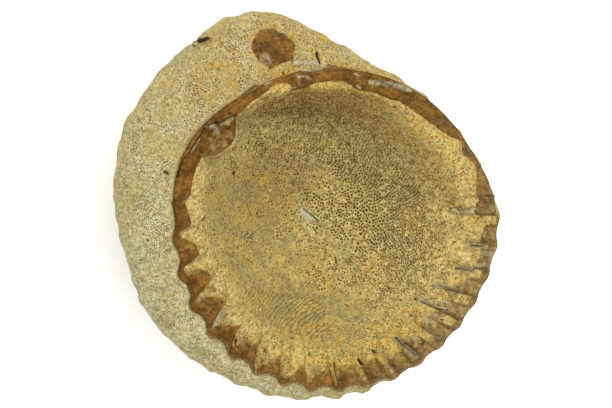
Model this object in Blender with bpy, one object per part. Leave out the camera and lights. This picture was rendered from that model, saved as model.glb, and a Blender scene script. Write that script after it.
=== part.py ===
"""Fossil common cockle: one valve lying on its back, its hollow upwards.

Three solids, each grown on the next: the valve itself, a thick porous crust over its outside, open at a
small window over the beak, and a thin porous lining in the hollow. All of them start as flat turned discs,
which are bowed into shape by formulas of two numbers: the angle round the valve, and the share of the way
in from the edge (0) to the middle (1). Angles run counter-clockwise from +X, seen from above. The beak is
towards +Y and the hind end of the shell towards +X.
"""

import math

import bmesh
import bpy
from mathutils import Matrix, Vector, noise

MM = 0.001

# The valve's edge: its distance from the middle, every 30 degrees from +X
EDGE_RADII = (20.6, 19.2, 19.0, 19.25, 19.95, 21.45, 19.8, 19.0, 18.75, 18.95, 19.55, 20.2)
EDGE_HEIGHT = 19.7
VALVE_DEPTH = 15.9
VALVE_FULLNESS = 2.4
DEEPEST = Vector((-1.6, 2.2, 0.0))

# The beak, which swells out over the hinge
BEAK_ANGLE = 109
BEAK_SPREAD = 17
BEAK_SWELL = 7.3
BEAK_FULLNESS = 1.4

# Ribs are counted clockwise from the hindmost one, and widen towards the front of the shell
RIBS = 19
FIRST_RIB_ANGLE = 6.0
RIB_PITCH = 8.84
RIB_PITCH_GROWTH = 0.104
RIDGE_HALF = 0.26
GROOVE_HALF = 0.42
RIDGE_HEIGHT = 0.5
GROOVE_DEPTH = 0.25
RIDGE_STARTS = (0, 0.6)
RIDGE_ENDS = (2.6, 5.0)
SCALLOP = 0.38

# The scallops are strongest at the front and below, between these angles, and fade either side
STRONG_SCALLOPS = (200, 250)
FADED_SCALLOPS = (165, 330)
FADED_TO = 0.35

# The hollow: a sloping rim inside the edge, then a bowl
CAVITY_DEPTH = 14.1
RIM_WIDTHS = (3.0, 2.6, 2.7, 2.3, 2.0, 2.9, 3.0, 3.2, 3.0, 3.0, 3.4, 3.6)
RIM_SLOPE = 0.48
HINGE_SLOPE = 0.2
CAVITY_FULLNESS = 2.2
HINGE_FULLNESS = 2.4
HINGE_ANGLE = 100
HINGE_SPREAD = 34
RIM_ROUNDING = 0.35
EDGE_THICKNESS = 0.4

# Side teeth of the hinge: angle, half length in degrees, distance in from the edge, half width, height
TEETH = (
    (141, 10, 4.0, 0.9, 1.5),
    (139, 9, 2.4, 0.7, -0.9),
    (68, 12, 1.9, 0.5, 0.5),
    (70, 9, 1.0, 0.4, -0.5),
)

# The crust outside: how far it swells past the edge, every 30 degrees from +X, and how low its lip lies
CRUST_SWELLS = (2.7, 1.5, 0.9, 4.0, 7.2, 8.0, 7.0, 5.7, 4.2, 3.7, 2.6, 2.6)
CRUST_LIP_DROPS = (1.2, 1.2, 1.0, 0.5, 0.4, 0.4, 0.4, 0.4, 0.4, 0.5, 0.8, 1.2)
CRUST_LIP_OUT = 0.35
CRUST_LIP_OUT_AT_BEAK = 0.75
CRUST_DEPTH = 19.6
CRUST_FULLNESS = 3.3
CRUST_SHOULDER = 1.25
CRUST_BEAK_ANGLE = 112
CRUST_BEAK_SPREAD = 17
CRUST_BEAK_SWELL = 2.5
REST_SPOT = Vector((-3.1, 1.4, 0.0))
LUMP_HEIGHT = 0.45
LUMP_SIZE = 7.0
RIBS_SHOWING = 0.1
REST_RADIUS = 5.0

# The bare window in the crust, over the beak: its middle is this far out past the edge and below it
WINDOW_ANGLE = 111
WINDOW_OUT = 3.5
WINDOW_DROP = 1.6
WINDOW_DEPTH = 3.2
WINDOW_WIDTH = 5.6
WINDOW_LENGTH = 6.0
WINDOW_TAPER = 0.75
WINDOW_LEAN = 0.55
WINDOW_TURN = 20

# The lining inside: how far in from the edge it starts, every 30 degrees from +X
LINING_STARTS = (2.5, 1.4, 2.4, 2.2, 1.9, 4.9, 2.9, 3.6, 3.1, 3.1, 4.0, 4.6)
LINING_FINGERS = 0.8
LINING_THICKNESS = 0.9

# Neighbouring pieces keep this far apart
GAP = 0.3

# Sharper corners than this stay crisp
CREASE_ANGLE = 50

# Where a swelling is widest, as a share of the way in from the edge
SWELL_AT = 0.15

# How far in from the edge each surface has a ring of points. The hollow's own rings are counted from the
# edge of the lining, so that the lining lies evenly over them.
HIDDEN_OUTSIDE_RINGS = (0.03, 0.1, 0.23, 0.44, 0.72)
CRUST_RINGS = (0.0, 0.012, 0.035, 0.08, 0.14, 0.22, 0.33, 0.46, 0.62, 0.81)
RIM_RINGS = 5
RIM_PART = 0.2
HIDDEN_INSIDE_RINGS = (0.0, 0.1, 0.25, 0.46, 0.73)
LINING_RINGS = (0.02, 0.07, 0.14, 0.23, 0.36, 0.52, 0.7, 0.86)
DORSAL_STEPS = 34


def around(values, angle):
    """A smooth closed curve through values spaced evenly round the valve."""
    count = len(values)
    place = (angle / 360 * count) % count
    i = int(place)
    f = place - i
    a, b, c, d = (values[(i + k) % count] for k in (-1, 0, 1, 2))
    return b + 0.5 * f * (c - a + f * (2 * a - 5 * b + 4 * c - d + f * (3 * (b - c) + d - a)))


def bell(angle, middle, spread):
    """1 at the middle angle, falling smoothly to 0 either side."""
    away = (angle - middle + 180) % 360 - 180
    return math.exp(-((away / spread) ** 2))


def smooth(low, high, value):
    share = min(1.0, max(0.0, (value - low) / (high - low)))
    return share * share * (3 - 2 * share)


def rib_angle(rib):
    """The angle of rib number `rib`, which may be a fraction."""
    return FIRST_RIB_ANGLE - rib * (RIB_PITCH + RIB_PITCH_GROWTH * rib)


def rib_at(angle):
    """The rib number at an angle, the inverse of rib_angle. It is past the last rib all along the hinge."""
    sweep = (FIRST_RIB_ANGLE - angle) % 360
    if sweep > 355:
        return (sweep - 360) / RIB_PITCH
    return (math.sqrt(RIB_PITCH**2 + 4 * RIB_PITCH_GROWTH * sweep) - RIB_PITCH) / (2 * RIB_PITCH_GROWTH)


def ridge(angle):
    """1 along the top of each ridge inside the edge, 0 in the grooves between, and along the hinge."""
    rib = rib_at(angle)
    if not -0.5 < rib < RIBS - 0.5:
        return 0.0
    return 1 - smooth(RIDGE_HALF, GROOVE_HALF, abs(rib - round(rib)))


def groove(angle):
    """1 in the grooves between the ridges, 0 on the ridges and along the hinge."""
    rib = rib_at(angle)
    if not -0.5 < rib < RIBS - 0.5:
        return 0.0
    return 1 - ridge(angle)


def edge_radius(angle, frill=1.0):
    """The scalloped edge of the valve: it stands in at each ridge and out at each groove."""
    rise = smooth(FADED_SCALLOPS[0], STRONG_SCALLOPS[0], angle % 360)
    fall = smooth(FADED_SCALLOPS[1], STRONG_SCALLOPS[1], angle % 360)
    frill *= FADED_TO + (1 - FADED_TO) * rise * fall
    return around(EDGE_RADII, angle) + SCALLOP * frill * (groove(angle) - ridge(angle))


def swelling(share):
    """How a swollen flank stands out on its way in from the edge: 0 at the edge, 1 at SWELL_AT."""
    return share / SWELL_AT * math.exp(1 - share / SWELL_AT)


def placed(angle, radius, share, deepest, height):
    turn = math.radians(angle)
    point = Vector((math.cos(turn), math.sin(turn), 0)) * radius + deepest * share
    point.z = height
    return point


def valve_outside(angle, share):
    beak = bell(angle, BEAK_ANGLE, BEAK_SPREAD)
    radius = edge_radius(angle) * (1 - share) + BEAK_SWELL * beak * swelling(share)
    fullness = VALVE_FULLNESS + BEAK_FULLNESS * beak
    height = EDGE_HEIGHT - VALVE_DEPTH * (1 - (1 - share) ** fullness)
    return placed(angle, radius, share, DEEPEST, height)


def tooth_height(angle, inset):
    """What the side teeth and their sockets add to the rim at a distance in from the edge."""
    total = 0.0
    for middle, half_length, at, half_width, rise in TEETH:
        along = bell(angle, middle, half_length)
        bowed = at * (0.55 + 0.45 * along) if rise > 0 else at
        total += rise * along * math.exp(-(((inset - bowed) / half_width) ** 2))
    return total


def valve_inside(angle, share):
    """The hollow's wall: a sloping, ridged rim that rounds over into a bowl."""
    hinge = bell(angle, HINGE_ANGLE, HINGE_SPREAD)
    edge = edge_radius(angle, 1 - smooth(0.1, 0.35, share)) - EDGE_THICKNESS
    inset = edge * share
    width = around(RIM_WIDTHS, angle)
    slope = RIM_SLOPE + (HINGE_SLOPE - RIM_SLOPE) * hinge
    fullness = CAVITY_FULLNESS + HINGE_FULLNESS * hinge
    rim = -slope * inset
    inner = (edge - inset) / (edge - width)
    bowl = -slope * width - (CAVITY_DEPTH - slope * width) * (1 - inner**fullness)
    low = min(rim, bowl)
    soft = low - RIM_ROUNDING * math.log(
        math.exp((low - rim) / RIM_ROUNDING) + math.exp((low - bowl) / RIM_ROUNDING)
    )
    relief = RIDGE_HEIGHT * ridge(angle) - GROOVE_DEPTH * groove(angle)
    relief *= smooth(*RIDGE_STARTS, inset) * (1 - smooth(*RIDGE_ENDS, inset))
    height = EDGE_HEIGHT + soft + relief + tooth_height(angle, inset)
    return placed(angle, edge - inset, share, DEEPEST, height)


def away_from(surface, angle, share, distance):
    """The point at a distance from a surface, along its normal, on its upper and inner side."""
    near = min(share, 0.98)
    # The slope is taken across a whole rib, so that neighbouring points don't cross over
    across = surface(angle + 5, near) - surface(angle - 5, near)
    inwards = surface(angle, near + 0.01) - surface(angle, max(0.0, near - 0.01))
    return surface(angle, share) + across.cross(inwards).normalized() * distance


def crust_outside(angle, share):
    beak = bell(angle, CRUST_BEAK_ANGLE, CRUST_BEAK_SPREAD)
    swell = around(CRUST_SWELLS, angle) + CRUST_BEAK_SWELL * beak
    lip = edge_radius(angle, 1 - smooth(0, 0.1, share)) + CRUST_LIP_OUT
    lip += CRUST_LIP_OUT_AT_BEAK * bell(angle, BEAK_ANGLE, BEAK_SPREAD)
    top = EDGE_HEIGHT - around(CRUST_LIP_DROPS, angle)
    sunk = (1 - (1 - share) ** CRUST_FULLNESS) ** CRUST_SHOULDER
    radius = lip * (1 - share) + swell * swelling(share)
    point = placed(angle, radius, share, REST_SPOT, top - (CRUST_DEPTH - EDGE_HEIGHT + top) * sunk)
    lumps = LUMP_HEIGHT * noise.noise(point / LUMP_SIZE)
    lumps += RIBS_SHOWING * (1 - smooth(3.2, 5.5, swell)) * (groove(angle) - ridge(angle))
    lumps *= smooth(0, 0.08, share)
    point += (point - Vector((0, 0, EDGE_HEIGHT * 0.6))).normalized() * lumps
    if point.z < 0 or (point.xy - REST_SPOT.xy).length < REST_RADIUS:
        point.z = 0
    return point


def crust_inside(angle, share):
    return away_from(valve_outside, angle, share, -GAP)


def lining_share(angle, share):
    """Shares of the lining, 0 at its own frayed edge, turned into shares of the hollow.

    Shares below 0 lead out over the bare rim, reaching the valve's edge at -1."""
    start = around(LINING_STARTS, angle) - LINING_FINGERS * groove(angle)
    first = start / edge_radius(angle)
    return first + (first if share < 0 else 1 - first) * share


def ringed_inside(angle, share):
    """The hollow's wall, on rings laid out like the lining's. The disc's outer part is the bare rim."""
    on_lining = share / RIM_PART - 1 if share < RIM_PART else (share - RIM_PART) / (1 - RIM_PART)
    return valve_inside(angle, lining_share(angle, on_lining))


def lining_under(angle, share):
    return away_from(valve_inside, angle, lining_share(angle, share), GAP)


def lining_top(angle, share):
    thickness = LINING_THICKNESS * smooth(-0.03, 0.05, share)
    return away_from(valve_inside, angle, lining_share(angle, share), GAP + thickness)


def ring_angles():
    """The angles round the valve that carry points: four on each rib, and even steps along the hinge."""
    angles = [
        rib_angle(rib + corner)
        for rib in range(RIBS)
        for corner in (-RIDGE_HALF, RIDGE_HALF, GROOVE_HALF, 1 - GROOVE_HALF)
    ]
    hinge_from, hinge_to = rib_angle(RIBS - 1 + 1 - GROOVE_HALF), rib_angle(-RIDGE_HALF) - 360
    step = (hinge_to - hinge_from) / (DORSAL_STEPS + 1)
    return angles + [hinge_from + step * (i + 1) for i in range(DORSAL_STEPS)]


def turned_disc(angles, under, over):
    """A flat closed disc of radius 1, spun from a profile with a ring of points at each share inwards.

    Points on its underside stand at height 0 and those on its upper side at height 1."""
    bm = bmesh.new()
    profile = [(0.0, 0), *((1 - s, 0) for s in reversed(under)), *((1 - s, 1) for s in over), (0.0, 1)]
    points = [bm.verts.new((radius, 0, height)) for radius, height in profile]
    edges = [bm.edges.new(pair) for pair in zip(points, points[1:])]
    bmesh.ops.spin(
        bm,
        geom=points + edges,
        cent=(0, 0, 0),
        axis=(0, 0, 1),
        angle=math.tau,
        steps=len(angles),
        use_merge=True,
    )
    bmesh.ops.remove_doubles(bm, verts=bm.verts, dist=1e-5)
    return bm


def bowed_piece(name, angles, under, under_surface, over, over_surface, material, collection):
    """Bows a turned disc so that its two sides lie on two surfaces, and makes it a named object."""
    bm = turned_disc(angles, under, over)
    for vert in bm.verts:
        turn = math.degrees(math.atan2(vert.co.y, vert.co.x)) % 360
        angle = angles[round(turn / 360 * len(angles)) % len(angles)]
        share = max(0.0, 1 - math.hypot(vert.co.x, vert.co.y))
        surface = over_surface if vert.co.z > 0.5 else under_surface
        vert.co = (surface(angle, share) - REST_SPOT) * MM
    if bm.calc_volume(signed=True) < 0:
        bmesh.ops.reverse_faces(bm, faces=bm.faces)
    # Neighbours are split alike, across the shorter diagonals, which keeps them clear of each other
    bmesh.ops.triangulate(bm, faces=bm.faces, quad_method="SHORT_EDGE")
    mesh = bpy.data.meshes.new(name)
    bm.to_mesh(mesh)
    bm.free()
    mesh.shade_smooth()
    mesh.set_sharp_from_angle(angle=math.radians(CREASE_ANGLE))
    mesh.materials.append(material)
    piece = bpy.data.objects.new(name, mesh)
    collection.objects.link(piece)
    return piece


def new_material(name, colour, roughness):
    material = bpy.data.materials.new(name)
    material.use_nodes = True
    shader = material.node_tree.nodes["Principled BSDF"]
    shader.inputs["Base Color"].default_value = (*colour, 1)
    shader.inputs["Roughness"].default_value = roughness
    shader.inputs["Metallic"].default_value = 0
    return material


def window_cutter(collection):
    """A blunt oval plug, wider at its outer end, leaning outwards from upright over the beak."""
    out = edge_radius(WINDOW_ANGLE) + WINDOW_OUT
    middle = placed(WINDOW_ANGLE, out, 0, DEEPEST, EDGE_HEIGHT - WINDOW_DROP)
    axis = Vector((0, 0, 1)) + Vector((middle.x, middle.y, 0)).normalized() * WINDOW_LEAN
    bm = bmesh.new()
    bmesh.ops.create_cone(
        bm,
        cap_ends=True,
        segments=14,
        radius1=WINDOW_TAPER / 2,
        radius2=0.5,
        depth=WINDOW_DEPTH,
    )
    place = (
        Matrix.Translation(middle)
        @ axis.to_track_quat("Z", "Y").to_matrix().to_4x4()
        @ Matrix.Rotation(math.radians(WINDOW_TURN), 4, "Z")
        @ Matrix.Diagonal((WINDOW_WIDTH, WINDOW_LENGTH, 1, 1))
    )
    bm.transform(Matrix.Scale(MM, 4) @ Matrix.Translation(-REST_SPOT) @ place)
    mesh = bpy.data.meshes.new("window_cutter")
    bm.to_mesh(mesh)
    bm.free()
    cutter = bpy.data.objects.new("window_cutter", mesh)
    collection.objects.link(cutter)
    cutter.hide_render = True
    cutter.display_type = "WIRE"
    return cutter


def new_collection(name):
    collection = bpy.data.collections.new(name)
    bpy.context.scene.collection.children.link(collection)
    return collection


def main():
    for old in list(bpy.data.objects):
        bpy.data.objects.remove(old)
    fossil = new_collection("fossil_common_cockle")
    cutters = new_collection("cutters")
    shell_brown = new_material("shell_brown", (0.23, 0.115, 0.04), 0.45)
    crust_ochre = new_material("crust_ochre", (0.55, 0.44, 0.2), 0.85)
    lining_ochre = new_material("lining_ochre", (0.48, 0.36, 0.14), 0.85)
    angles = ring_angles()
    rim_rings = [RIM_PART * ring / RIM_RINGS for ring in range(RIM_RINGS)]

    bowed_piece(
        "cockle_valve",
        angles,
        (0.0, *HIDDEN_OUTSIDE_RINGS),
        valve_outside,
        rim_rings + [RIM_PART + (1 - RIM_PART) * share for share in HIDDEN_INSIDE_RINGS],
        ringed_inside,
        shell_brown,
        fossil,
    )
    crust = bowed_piece(
        "outer_crust",
        angles,
        CRUST_RINGS,
        crust_outside,
        HIDDEN_OUTSIDE_RINGS,
        crust_inside,
        crust_ochre,
        fossil,
    )
    window = crust.modifiers.new("window over the beak", "BOOLEAN")
    window.operation = "DIFFERENCE"
    window.object = window_cutter(cutters)
    bowed_piece(
        "inner_crust",
        angles,
        HIDDEN_INSIDE_RINGS,
        lining_under,
        LINING_RINGS,
        lining_top,
        lining_ochre,
        fossil,
    )


main()
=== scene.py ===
"""Fossil common cockle: the fine surface of a valve lying on its back, crusted outside and inside.

The three solids of the frame are replaced by finer ones made from the same formulas. Each is a flat disc of
rings, bowed so that its upper and under sides lie on two surfaces of the shell. A place on the shell is
given by the angle round it, counter-clockwise from +X, and the share of the way in from the edge (0) to the
middle (1). On the rim it is also given by the angle and the inset, its distance in from the edge. Sizes are
in millimetres, and plan places are measured from the middle of the rim. Bumps are (height, size) pairs, and
a pair of ends says where something starts to rise or fall and where it is done.
"""

import math

import bmesh
import bpy
import numpy as np
from mathutils import Matrix, Vector, noise


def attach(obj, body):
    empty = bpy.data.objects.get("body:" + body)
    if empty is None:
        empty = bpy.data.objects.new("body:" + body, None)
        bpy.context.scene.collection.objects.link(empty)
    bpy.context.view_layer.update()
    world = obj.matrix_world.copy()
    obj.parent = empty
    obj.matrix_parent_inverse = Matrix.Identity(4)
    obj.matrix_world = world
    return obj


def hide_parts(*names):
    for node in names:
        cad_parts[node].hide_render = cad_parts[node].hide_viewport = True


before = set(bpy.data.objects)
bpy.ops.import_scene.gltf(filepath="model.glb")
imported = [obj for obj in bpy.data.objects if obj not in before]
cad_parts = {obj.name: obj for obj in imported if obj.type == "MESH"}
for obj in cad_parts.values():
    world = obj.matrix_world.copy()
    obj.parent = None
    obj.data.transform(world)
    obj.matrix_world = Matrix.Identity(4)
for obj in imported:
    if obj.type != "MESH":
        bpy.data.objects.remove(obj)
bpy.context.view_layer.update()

MM = 0.001

# The valve's edge: its distance from the middle, every 30 degrees from +X
EDGE_RADII = (20.8, 19.2, 19.0, 19.25, 19.95, 21.45, 19.7, 19.0, 18.75, 19.05, 19.95, 20.5)
EDGE_HEIGHT = 19.7
EDGE_THICKNESS = 0.12
EDGE_ROUNDING = 0.16
EDGE_ROUNDED_BY = 0.12
VALVE_DEPTH = 15.9
VALVE_FULLNESS = 2.4
DEEPEST = (-1.6, 2.2)

# The beak, which swells out over the hinge. Its growth lines start at its tip
BEAK_ANGLE = 109
BEAK_SPREAD = 17
BEAK_SWELL = 7.3
BEAK_FULLNESS = 1.4
BEAK_TIP = (-6.8, 18.9)

# Where a swelling is widest, as a share of the way in from the edge
SWELL_AT = 0.15

# Ribs are counted clockwise from the hindmost one, and widen towards the front of the shell. They drift
# some degrees ahead of that rule, and lean as they run inwards, in degrees a millimetre
RIBS = 19
FIRST_RIB_ANGLE = 6.0
RIB_PITCH = 8.84
RIB_PITCH_GROWTH = 0.104
RIB_PITCH_AT_EDGE = 3.1
BEHIND_FIRST_RIB = 5
RIB_DRIFT = (0, 0, 0, 0, 0, 0, 0.6, 1.7, 1.9, 1.8, 1.2, -0.8)
RIB_LEAN = (0.4, 0, 0, 0, 0, 0, 0, 0, 0.1, 0.3, 0.7, 0.9)
LEAN_ENDS = 5
RIDGE_HALF = 0.12
GROOVE_HALF = 0.46
RIDGE_HEIGHT = 0.6
GROOVE_DEPTH = 0.5
RIDGE_STARTS = (-0.1, 0.5)
RIDGE_ENDS = (2.6, 5.0)
SCALLOP = 0.38
SCALLOPS_END = (0.1, 0.35)
STRONG_SCALLOPS = (200, 250)
FADED_SCALLOPS = (165, 330)
FADED_TO = 0.35

# The hollow: a sloping rim inside the edge, narrowest beside the hinge, then a bowl
CAVITY_DEPTH = 14.1
RIM_WIDTHS = (3.0, 2.6, 2.7, 2.2, 2.0, 2.9, 3.0, 3.2, 3.0, 3.0, 3.4, 3.6)
RIM_SLOPE = 0.48
HINGE_SLOPE = 0.2
CAVITY_FULLNESS = 2.2
HINGE_FULLNESS = 2.4
NARROWEST_ANGLE = 119
NARROW_SPREAD = 9
NARROWED_BY = 1.0
HINGE_ANGLE = 100
HINGE_SPREAD = 34
RIM_ROUNDING = 0.35
RIM_BUMPS = (0.05, 0.8)
RIM_BUMPS_START = (0.2, 0.8)

# Growth steps on the rim fade on the way in from the edge
STEP_SPACING = 0.34
STEP_HEIGHT = 0.03
STEP_WAVES = (0.9, 2.5)
STEPS_FADE = 1.3

# Side teeth of the hinge: angle, half length in degrees, distance in from the edge, half width, height.
# The raised ones curve towards the edge at their ends
TEETH = (
    (139.5, 8, 2.2, 0.7, -1.0),
    (68, 12, 1.9, 0.5, 0.5),
    (70, 9, 1.0, 0.4, -0.5),
)
TOOTH_CURVE = 0.45

# The front tooth is a lens that stands in the hollow beside its socket
LENS_ANGLE = 142
LENS_HALF_LENGTH = 9.5
LENS_AT = 4.15
LENS_BEND = 1.7
LENS_HALF_WIDTH = 1.0
LENS_TOP = -0.55
LENS_FALL_ACROSS = 0.75
LENS_FALL_ALONG = 1.3
LENS_ROUNDING = 0.12
LENS_FOOT = 1

# The crust outside: how far it swells past the edge, every 30 degrees from +X, and how low its lip lies
CRUST_SWELLS = (2.7, 1.5, 0.9, 4.0, 7.2, 8.0, 7.0, 5.7, 4.2, 3.7, 2.6, 2.6)
CRUST_LIP_DROPS = (1.2, 1.2, 1.0, 0.5, 0.4, 0.4, 0.4, 0.4, 0.4, 0.5, 0.8, 1.2)
CRUST_LIP_OUT = 0.35
CRUST_LIP_OUT_AT_BEAK = 0.75
CRUST_LIP_ENDS = 0.03
CRUST_SCALLOPS_END = 0.1
CRUST_DEPTH = 19.6
CRUST_FULLNESS = 3.3
CRUST_SHOULDER = 1.25
CRUST_BEAK_ANGLE = 112
CRUST_BEAK_SPREAD = 17
CRUST_BEAK_SWELL = 2.5
CRUST_BUMPS = ((0.26, 1.7), (0.12, 0.65))
CRUST_BUMPS_START = 0.02
CRUST_FOOT = 0.02
REST_SPOT = (-3.1, 1.4)
REST_RADIUS = 5.0
LUMPS = (0.45, 7.0)
LUMPS_START = 0.08
LUMPS_STAND_OUT_FROM = 0.6
RIBS_SHOWING = 0.1
RIBS_HIDDEN_BY = (3.2, 5.5)

# Bare places outside, in plan. The window over the beak is its middle and (direction, radius) pairs; the
# ledge that held the ligament has a step and a slit; the chip is a small round spot
WINDOW_MIDDLE = (-7.9, 21.4)
WINDOW_OUTLINE = (
    (15, 2.6), (32, 2.4), (68, 2.25), (112, 2.55), (135, 2.6), (168, 2.7), (190, 2.3), (213, 2.1),
    (230, 1.95), (248, 1.9), (269, 2.6), (290, 3.15), (308, 2.5), (326, 2.35), (354, 2.2),
)
WINDOW_FRAY = (0.1, 0.5)
LEDGE_MIDDLE = (-4.0, 19.75)
LEDGE_HALF_LENGTH = 1.55
LEDGE_HALF_WIDTH = 0.42
LEDGE_ENDS = (0.1, 0.4)
LEDGE_RISE = 0.3
LEDGE_STEP = 0.12
LEDGE_STEP_AT = -0.25
LEDGE_BUMPS = (0.03, 0.6)
SLIT_DEPTH = 0.35
SLIT_AT = -0.22
SLIT_HALF_WIDTH = 0.07
SLIT_ENDS = 0.8
CHIP_MIDDLE = (-9.1, 18.2)
CHIP_RADIUS = 0.5

# How far a bare place lies under the crust, and the crust's own sunk skin under the bare place
BARE_DEPTH = 0.28
BARE_STARTS = 0.004
SUNK_DEPTH = 0.5
BANK = (-0.1, 0.22)
SHELL_BLEND = (0.35, 1.3)

# The bare places are all within this share and this spread of angles at the beak
BEAK_SHARE = 0.2
SHELL_BEAK_SHARE = 0.15
BEAK_REGION = 30
BEAK_LEAST = 0.1
SPLIT_BEAK_LEAST = 0.3

# Shares of places on the edge itself and on the rim, and a distance that is far from every feature
ON_EDGE = 0.001
RIM_SHARE = 0.3
FAR = 9.0

# The slope of a surface is taken over this many degrees and this share to both sides
SLOPE_ACROSS = 5
SLOPE_INWARDS = 0.01
LAST_SLOPE = 0.98

# Growth lines round the tip of the beak. From some way out they are rough
BEAK_LINE_SPACING = 0.36
BEAK_LINE_WAVES = (0.7, 1.1)
BEAK_LINE_HEIGHT = 0.012
ROUGH_LINE_HEIGHT = 0.05
ROUGH_BUMPS = (0.09, 0.5)
ROUGH_STARTS = (2.6, 4.2)
ROUGH_FRAY = (0.5, 1.2)

# How far in each ridge stays bare on its two sides, from the hindmost ridge on
RIDGE_REACHES = (
    (1.9, 2.6), (1.5, 1.9), (1.4, 1.7), (1.9, 2.9), (2.6, 3.6), (3.3, 3.3), (2.4, 2.6), (1.8, 1.9),
    (2.2, 2.2), (2.0, 1.8), (2.2, 1.2), (2.2, 0.8), (2.3, 1.2), (2.6, 1.9), (3.0, 1.8), (3.6, 2.8),
    (3.8, 3.0), (2.7, 2.5), (2.2, 2.1),
)
RIDGE_SIDE = 0.3

# The crust's fingers in the grooves, from the one behind the hindmost ridge on: how near the edge the finger
# ends, its half width in ribs, and where a patch cut off from the lining ends
FINGERS = (
    (1.8, 0.1, 0), (0.0, 0.13, 0), (1.8, 0.05, 0), (2.0, 0.14, 1.7), (2.1, 0.14, 1.8), (2.4, 0.15, 2.0),
    (1.0, 0.14, 0), (2.2, 0.08, 0), (0.8, 0.07, 0), (0.9, 0.06, 0), (1.0, 0.04, 0), (0.7, 0.06, 0),
    (0.8, 0.06, 0), (0.9, 0.05, 0), (1.2, 0.04, 0), (1.4, 0.03, 0), (1.3, 0.04, 0), (1.1, 0.06, 0),
    (1.3, 0.1, 0), (2.4, 0.1, 0),
)
PATCH_STARTS = 0.45
FINGER_WIDENS = 0.07
WEB = 0.9

# Along the hinge the lining starts this far in: (angle, inset) pairs. Its slant is taken over HINGE_STEP
# degrees to both sides, and places BARE_BEHIND further in are covered however steep it is
HINGE_REACHES = (
    (10, 1.8), (15, 1.3), (20, 0.6), (22, 0.4), (26, 0.8), (29, 1.0), (33, 0.35), (36, 1.0), (38.5, 1.3),
    (42, 1.6), (46, 1.9), (50, 2.0), (58, 2.1), (62, 2.0), (66, 2.3), (75, 2.4), (80, 2.5), (83, 2.2),
    (88, 1.5), (95, 1.5), (100, 1.6), (101.5, 1.9), (103.5, 2.5), (106, 2.7), (108.2, 2.4), (109.2, 1.0),
    (111, 0.45), (114, 0.3), (117, 0.5), (119, 0.9), (121, 1.15), (124, 1.2), (127, 1.6), (130, 2.6),
    (133, 4.0), (137, 4.9), (141, 5.3), (146, 5.1), (150, 4.2), (152, 3.3), (156, 2.9), (160, 2.8),
    (165, 2.7), (169, 2.5),
)
HINGE_STEP = 0.3
BARE_BEHIND = 2
COVER_FRAYS = ((0.08, 0.5), (0.12, 1.5))
FRAY_RADIUS = 20

# The lining's own edge, its thickness, which grows with the cover, and how far it fills the rim's relief
LINING_STARTS = (0.1, 0.1, 0.9, 0.5, 0.2, 2.2, 0.4, 0.2, 0.1, 0.1, 0.2, 0.3)
LINING_THICKNESS = 0.9
LINING_THICK_FROM = 1.8
LINING_EDGE_THICKNESS = 0.24
LINING_EDGE_ENDS = 0.16
LINING_SINK = 0.14
LINING_SINKS = (-0.12, 0)
LINING_BUMPS = ((0.12, 3.2), (0.06, 1.3), (0.03, 0.5))
LINING_BUMPS_START = 0.4
RELIEF_FILLED = 0.88
RELIEF_FILLED_BY = (0.1, 1.4)

# Grown layers touch: they keep only this far apart, and their thin edges sink this far into the shell
GAP = 0.03
EDGE_SINK = 0.06
FRINGE_SINK = 0.35
FRINGE_ENDS = (5, 7)

# Wavy rows of beads on the floor, below a sloping line
ROW_SPACING = 0.38
ROW_DEPTH = 0.11
ROW_DIRECTION = (0.88, 0.45)
ROW_WAVES = ((0.35, 1.6), (0.1, 0.6))
ROWS_BELOW = (-3.8, -8.1)
ROWS_BELOW_FALLS = 0.2
ROWS_BELOW_FRAY = (0.5, 1.5)
ROWS_START = (0, 0.9)
ROWS_END = (14.0, 13.2)
ROWS_END_BEHIND = (2.8, 1.2)
BEAD_DEPTH = 0.2
BEAD_LENGTH = 1.3
BEAD_WAVES = (0.3, 0.9)

# Cuts are lines with a half width and a depth. Those of the rim are given by (angle, inset), from the
# hinge's socket round the front, the others by plan places
RIM_CUTS = (
    (((160, 0.1), (156, 0.15), (153.9, 0.25), (151.7, 0.65), (148.9, 0.83), (145.6, 0.7), (142.2, 0.3)),
     0.09, 0.35),
    (((139.0, 0.8), (137.5, 1.3), (136.2, 1.8), (134.4, 2.05), (131.6, 2.0)), 0.12, 0.5),
    (((133.4, 1.1), (132.8, 1.5)), 0.2, 0.6),
    (((351.6, 1.0), (351.0, 2.0), (350.6, 2.25)), 0.07, 0.3),
    (((341.6, 2.0), (340.6, 3.0)), 0.07, 0.25),
    (((333.4, 1.9), (331.5, 3.0), (330, 4.0)), 0.07, 0.25),
    (((325.4, 2.0), (322.8, 3.2), (321.4, 4.3)), 0.08, 0.28),
    (((305.5, 0.9), (304.2, 2.2), (303.6, 3.2)), 0.07, 0.28),
    (((310.2, 1.5), (309.5, 1.55)), 0.24, 0.6),
    (((321.4, 1.4),), 0.15, 0.4),
    (((320.3, 0.65),), 0.18, 0.4),
    (((292.5, 2.6), (291.8, 2.7)), 0.22, 0.35),
    (((285.7, 2.2), (285.1, 2.65)), 0.13, 0.5),
    (((274.8, 0.6), (274.3, 1.5), (274.3, 2.6)), 0.07, 0.35),
    (((229.9, 1.4), (229.2, 1.8)), 0.14, 0.5),
    (((321.2, 4.4),), 0.15, 0.4),
    (((0.8, 3.6),), 0.13, 0.35),
    (((5.5, 3.4),), 0.13, 0.35),
    (((316.1, 5.0),), 0.14, 0.35),
    (((263.2, 3.1),), 0.2, 0.3),
    (((255.9, 3.7), (255.2, 3.85)), 0.12, 0.3),
    (((242.1, 2.4),), 0.14, 0.35),
    (((175.7, 3.5), (175.2, 4.4)), 0.16, 0.5),
    (((173.3, 4.4),), 0.12, 0.35),
    (((62.5, 2.6), (61.8, 2.6)), 0.12, 0.35),
)
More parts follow.
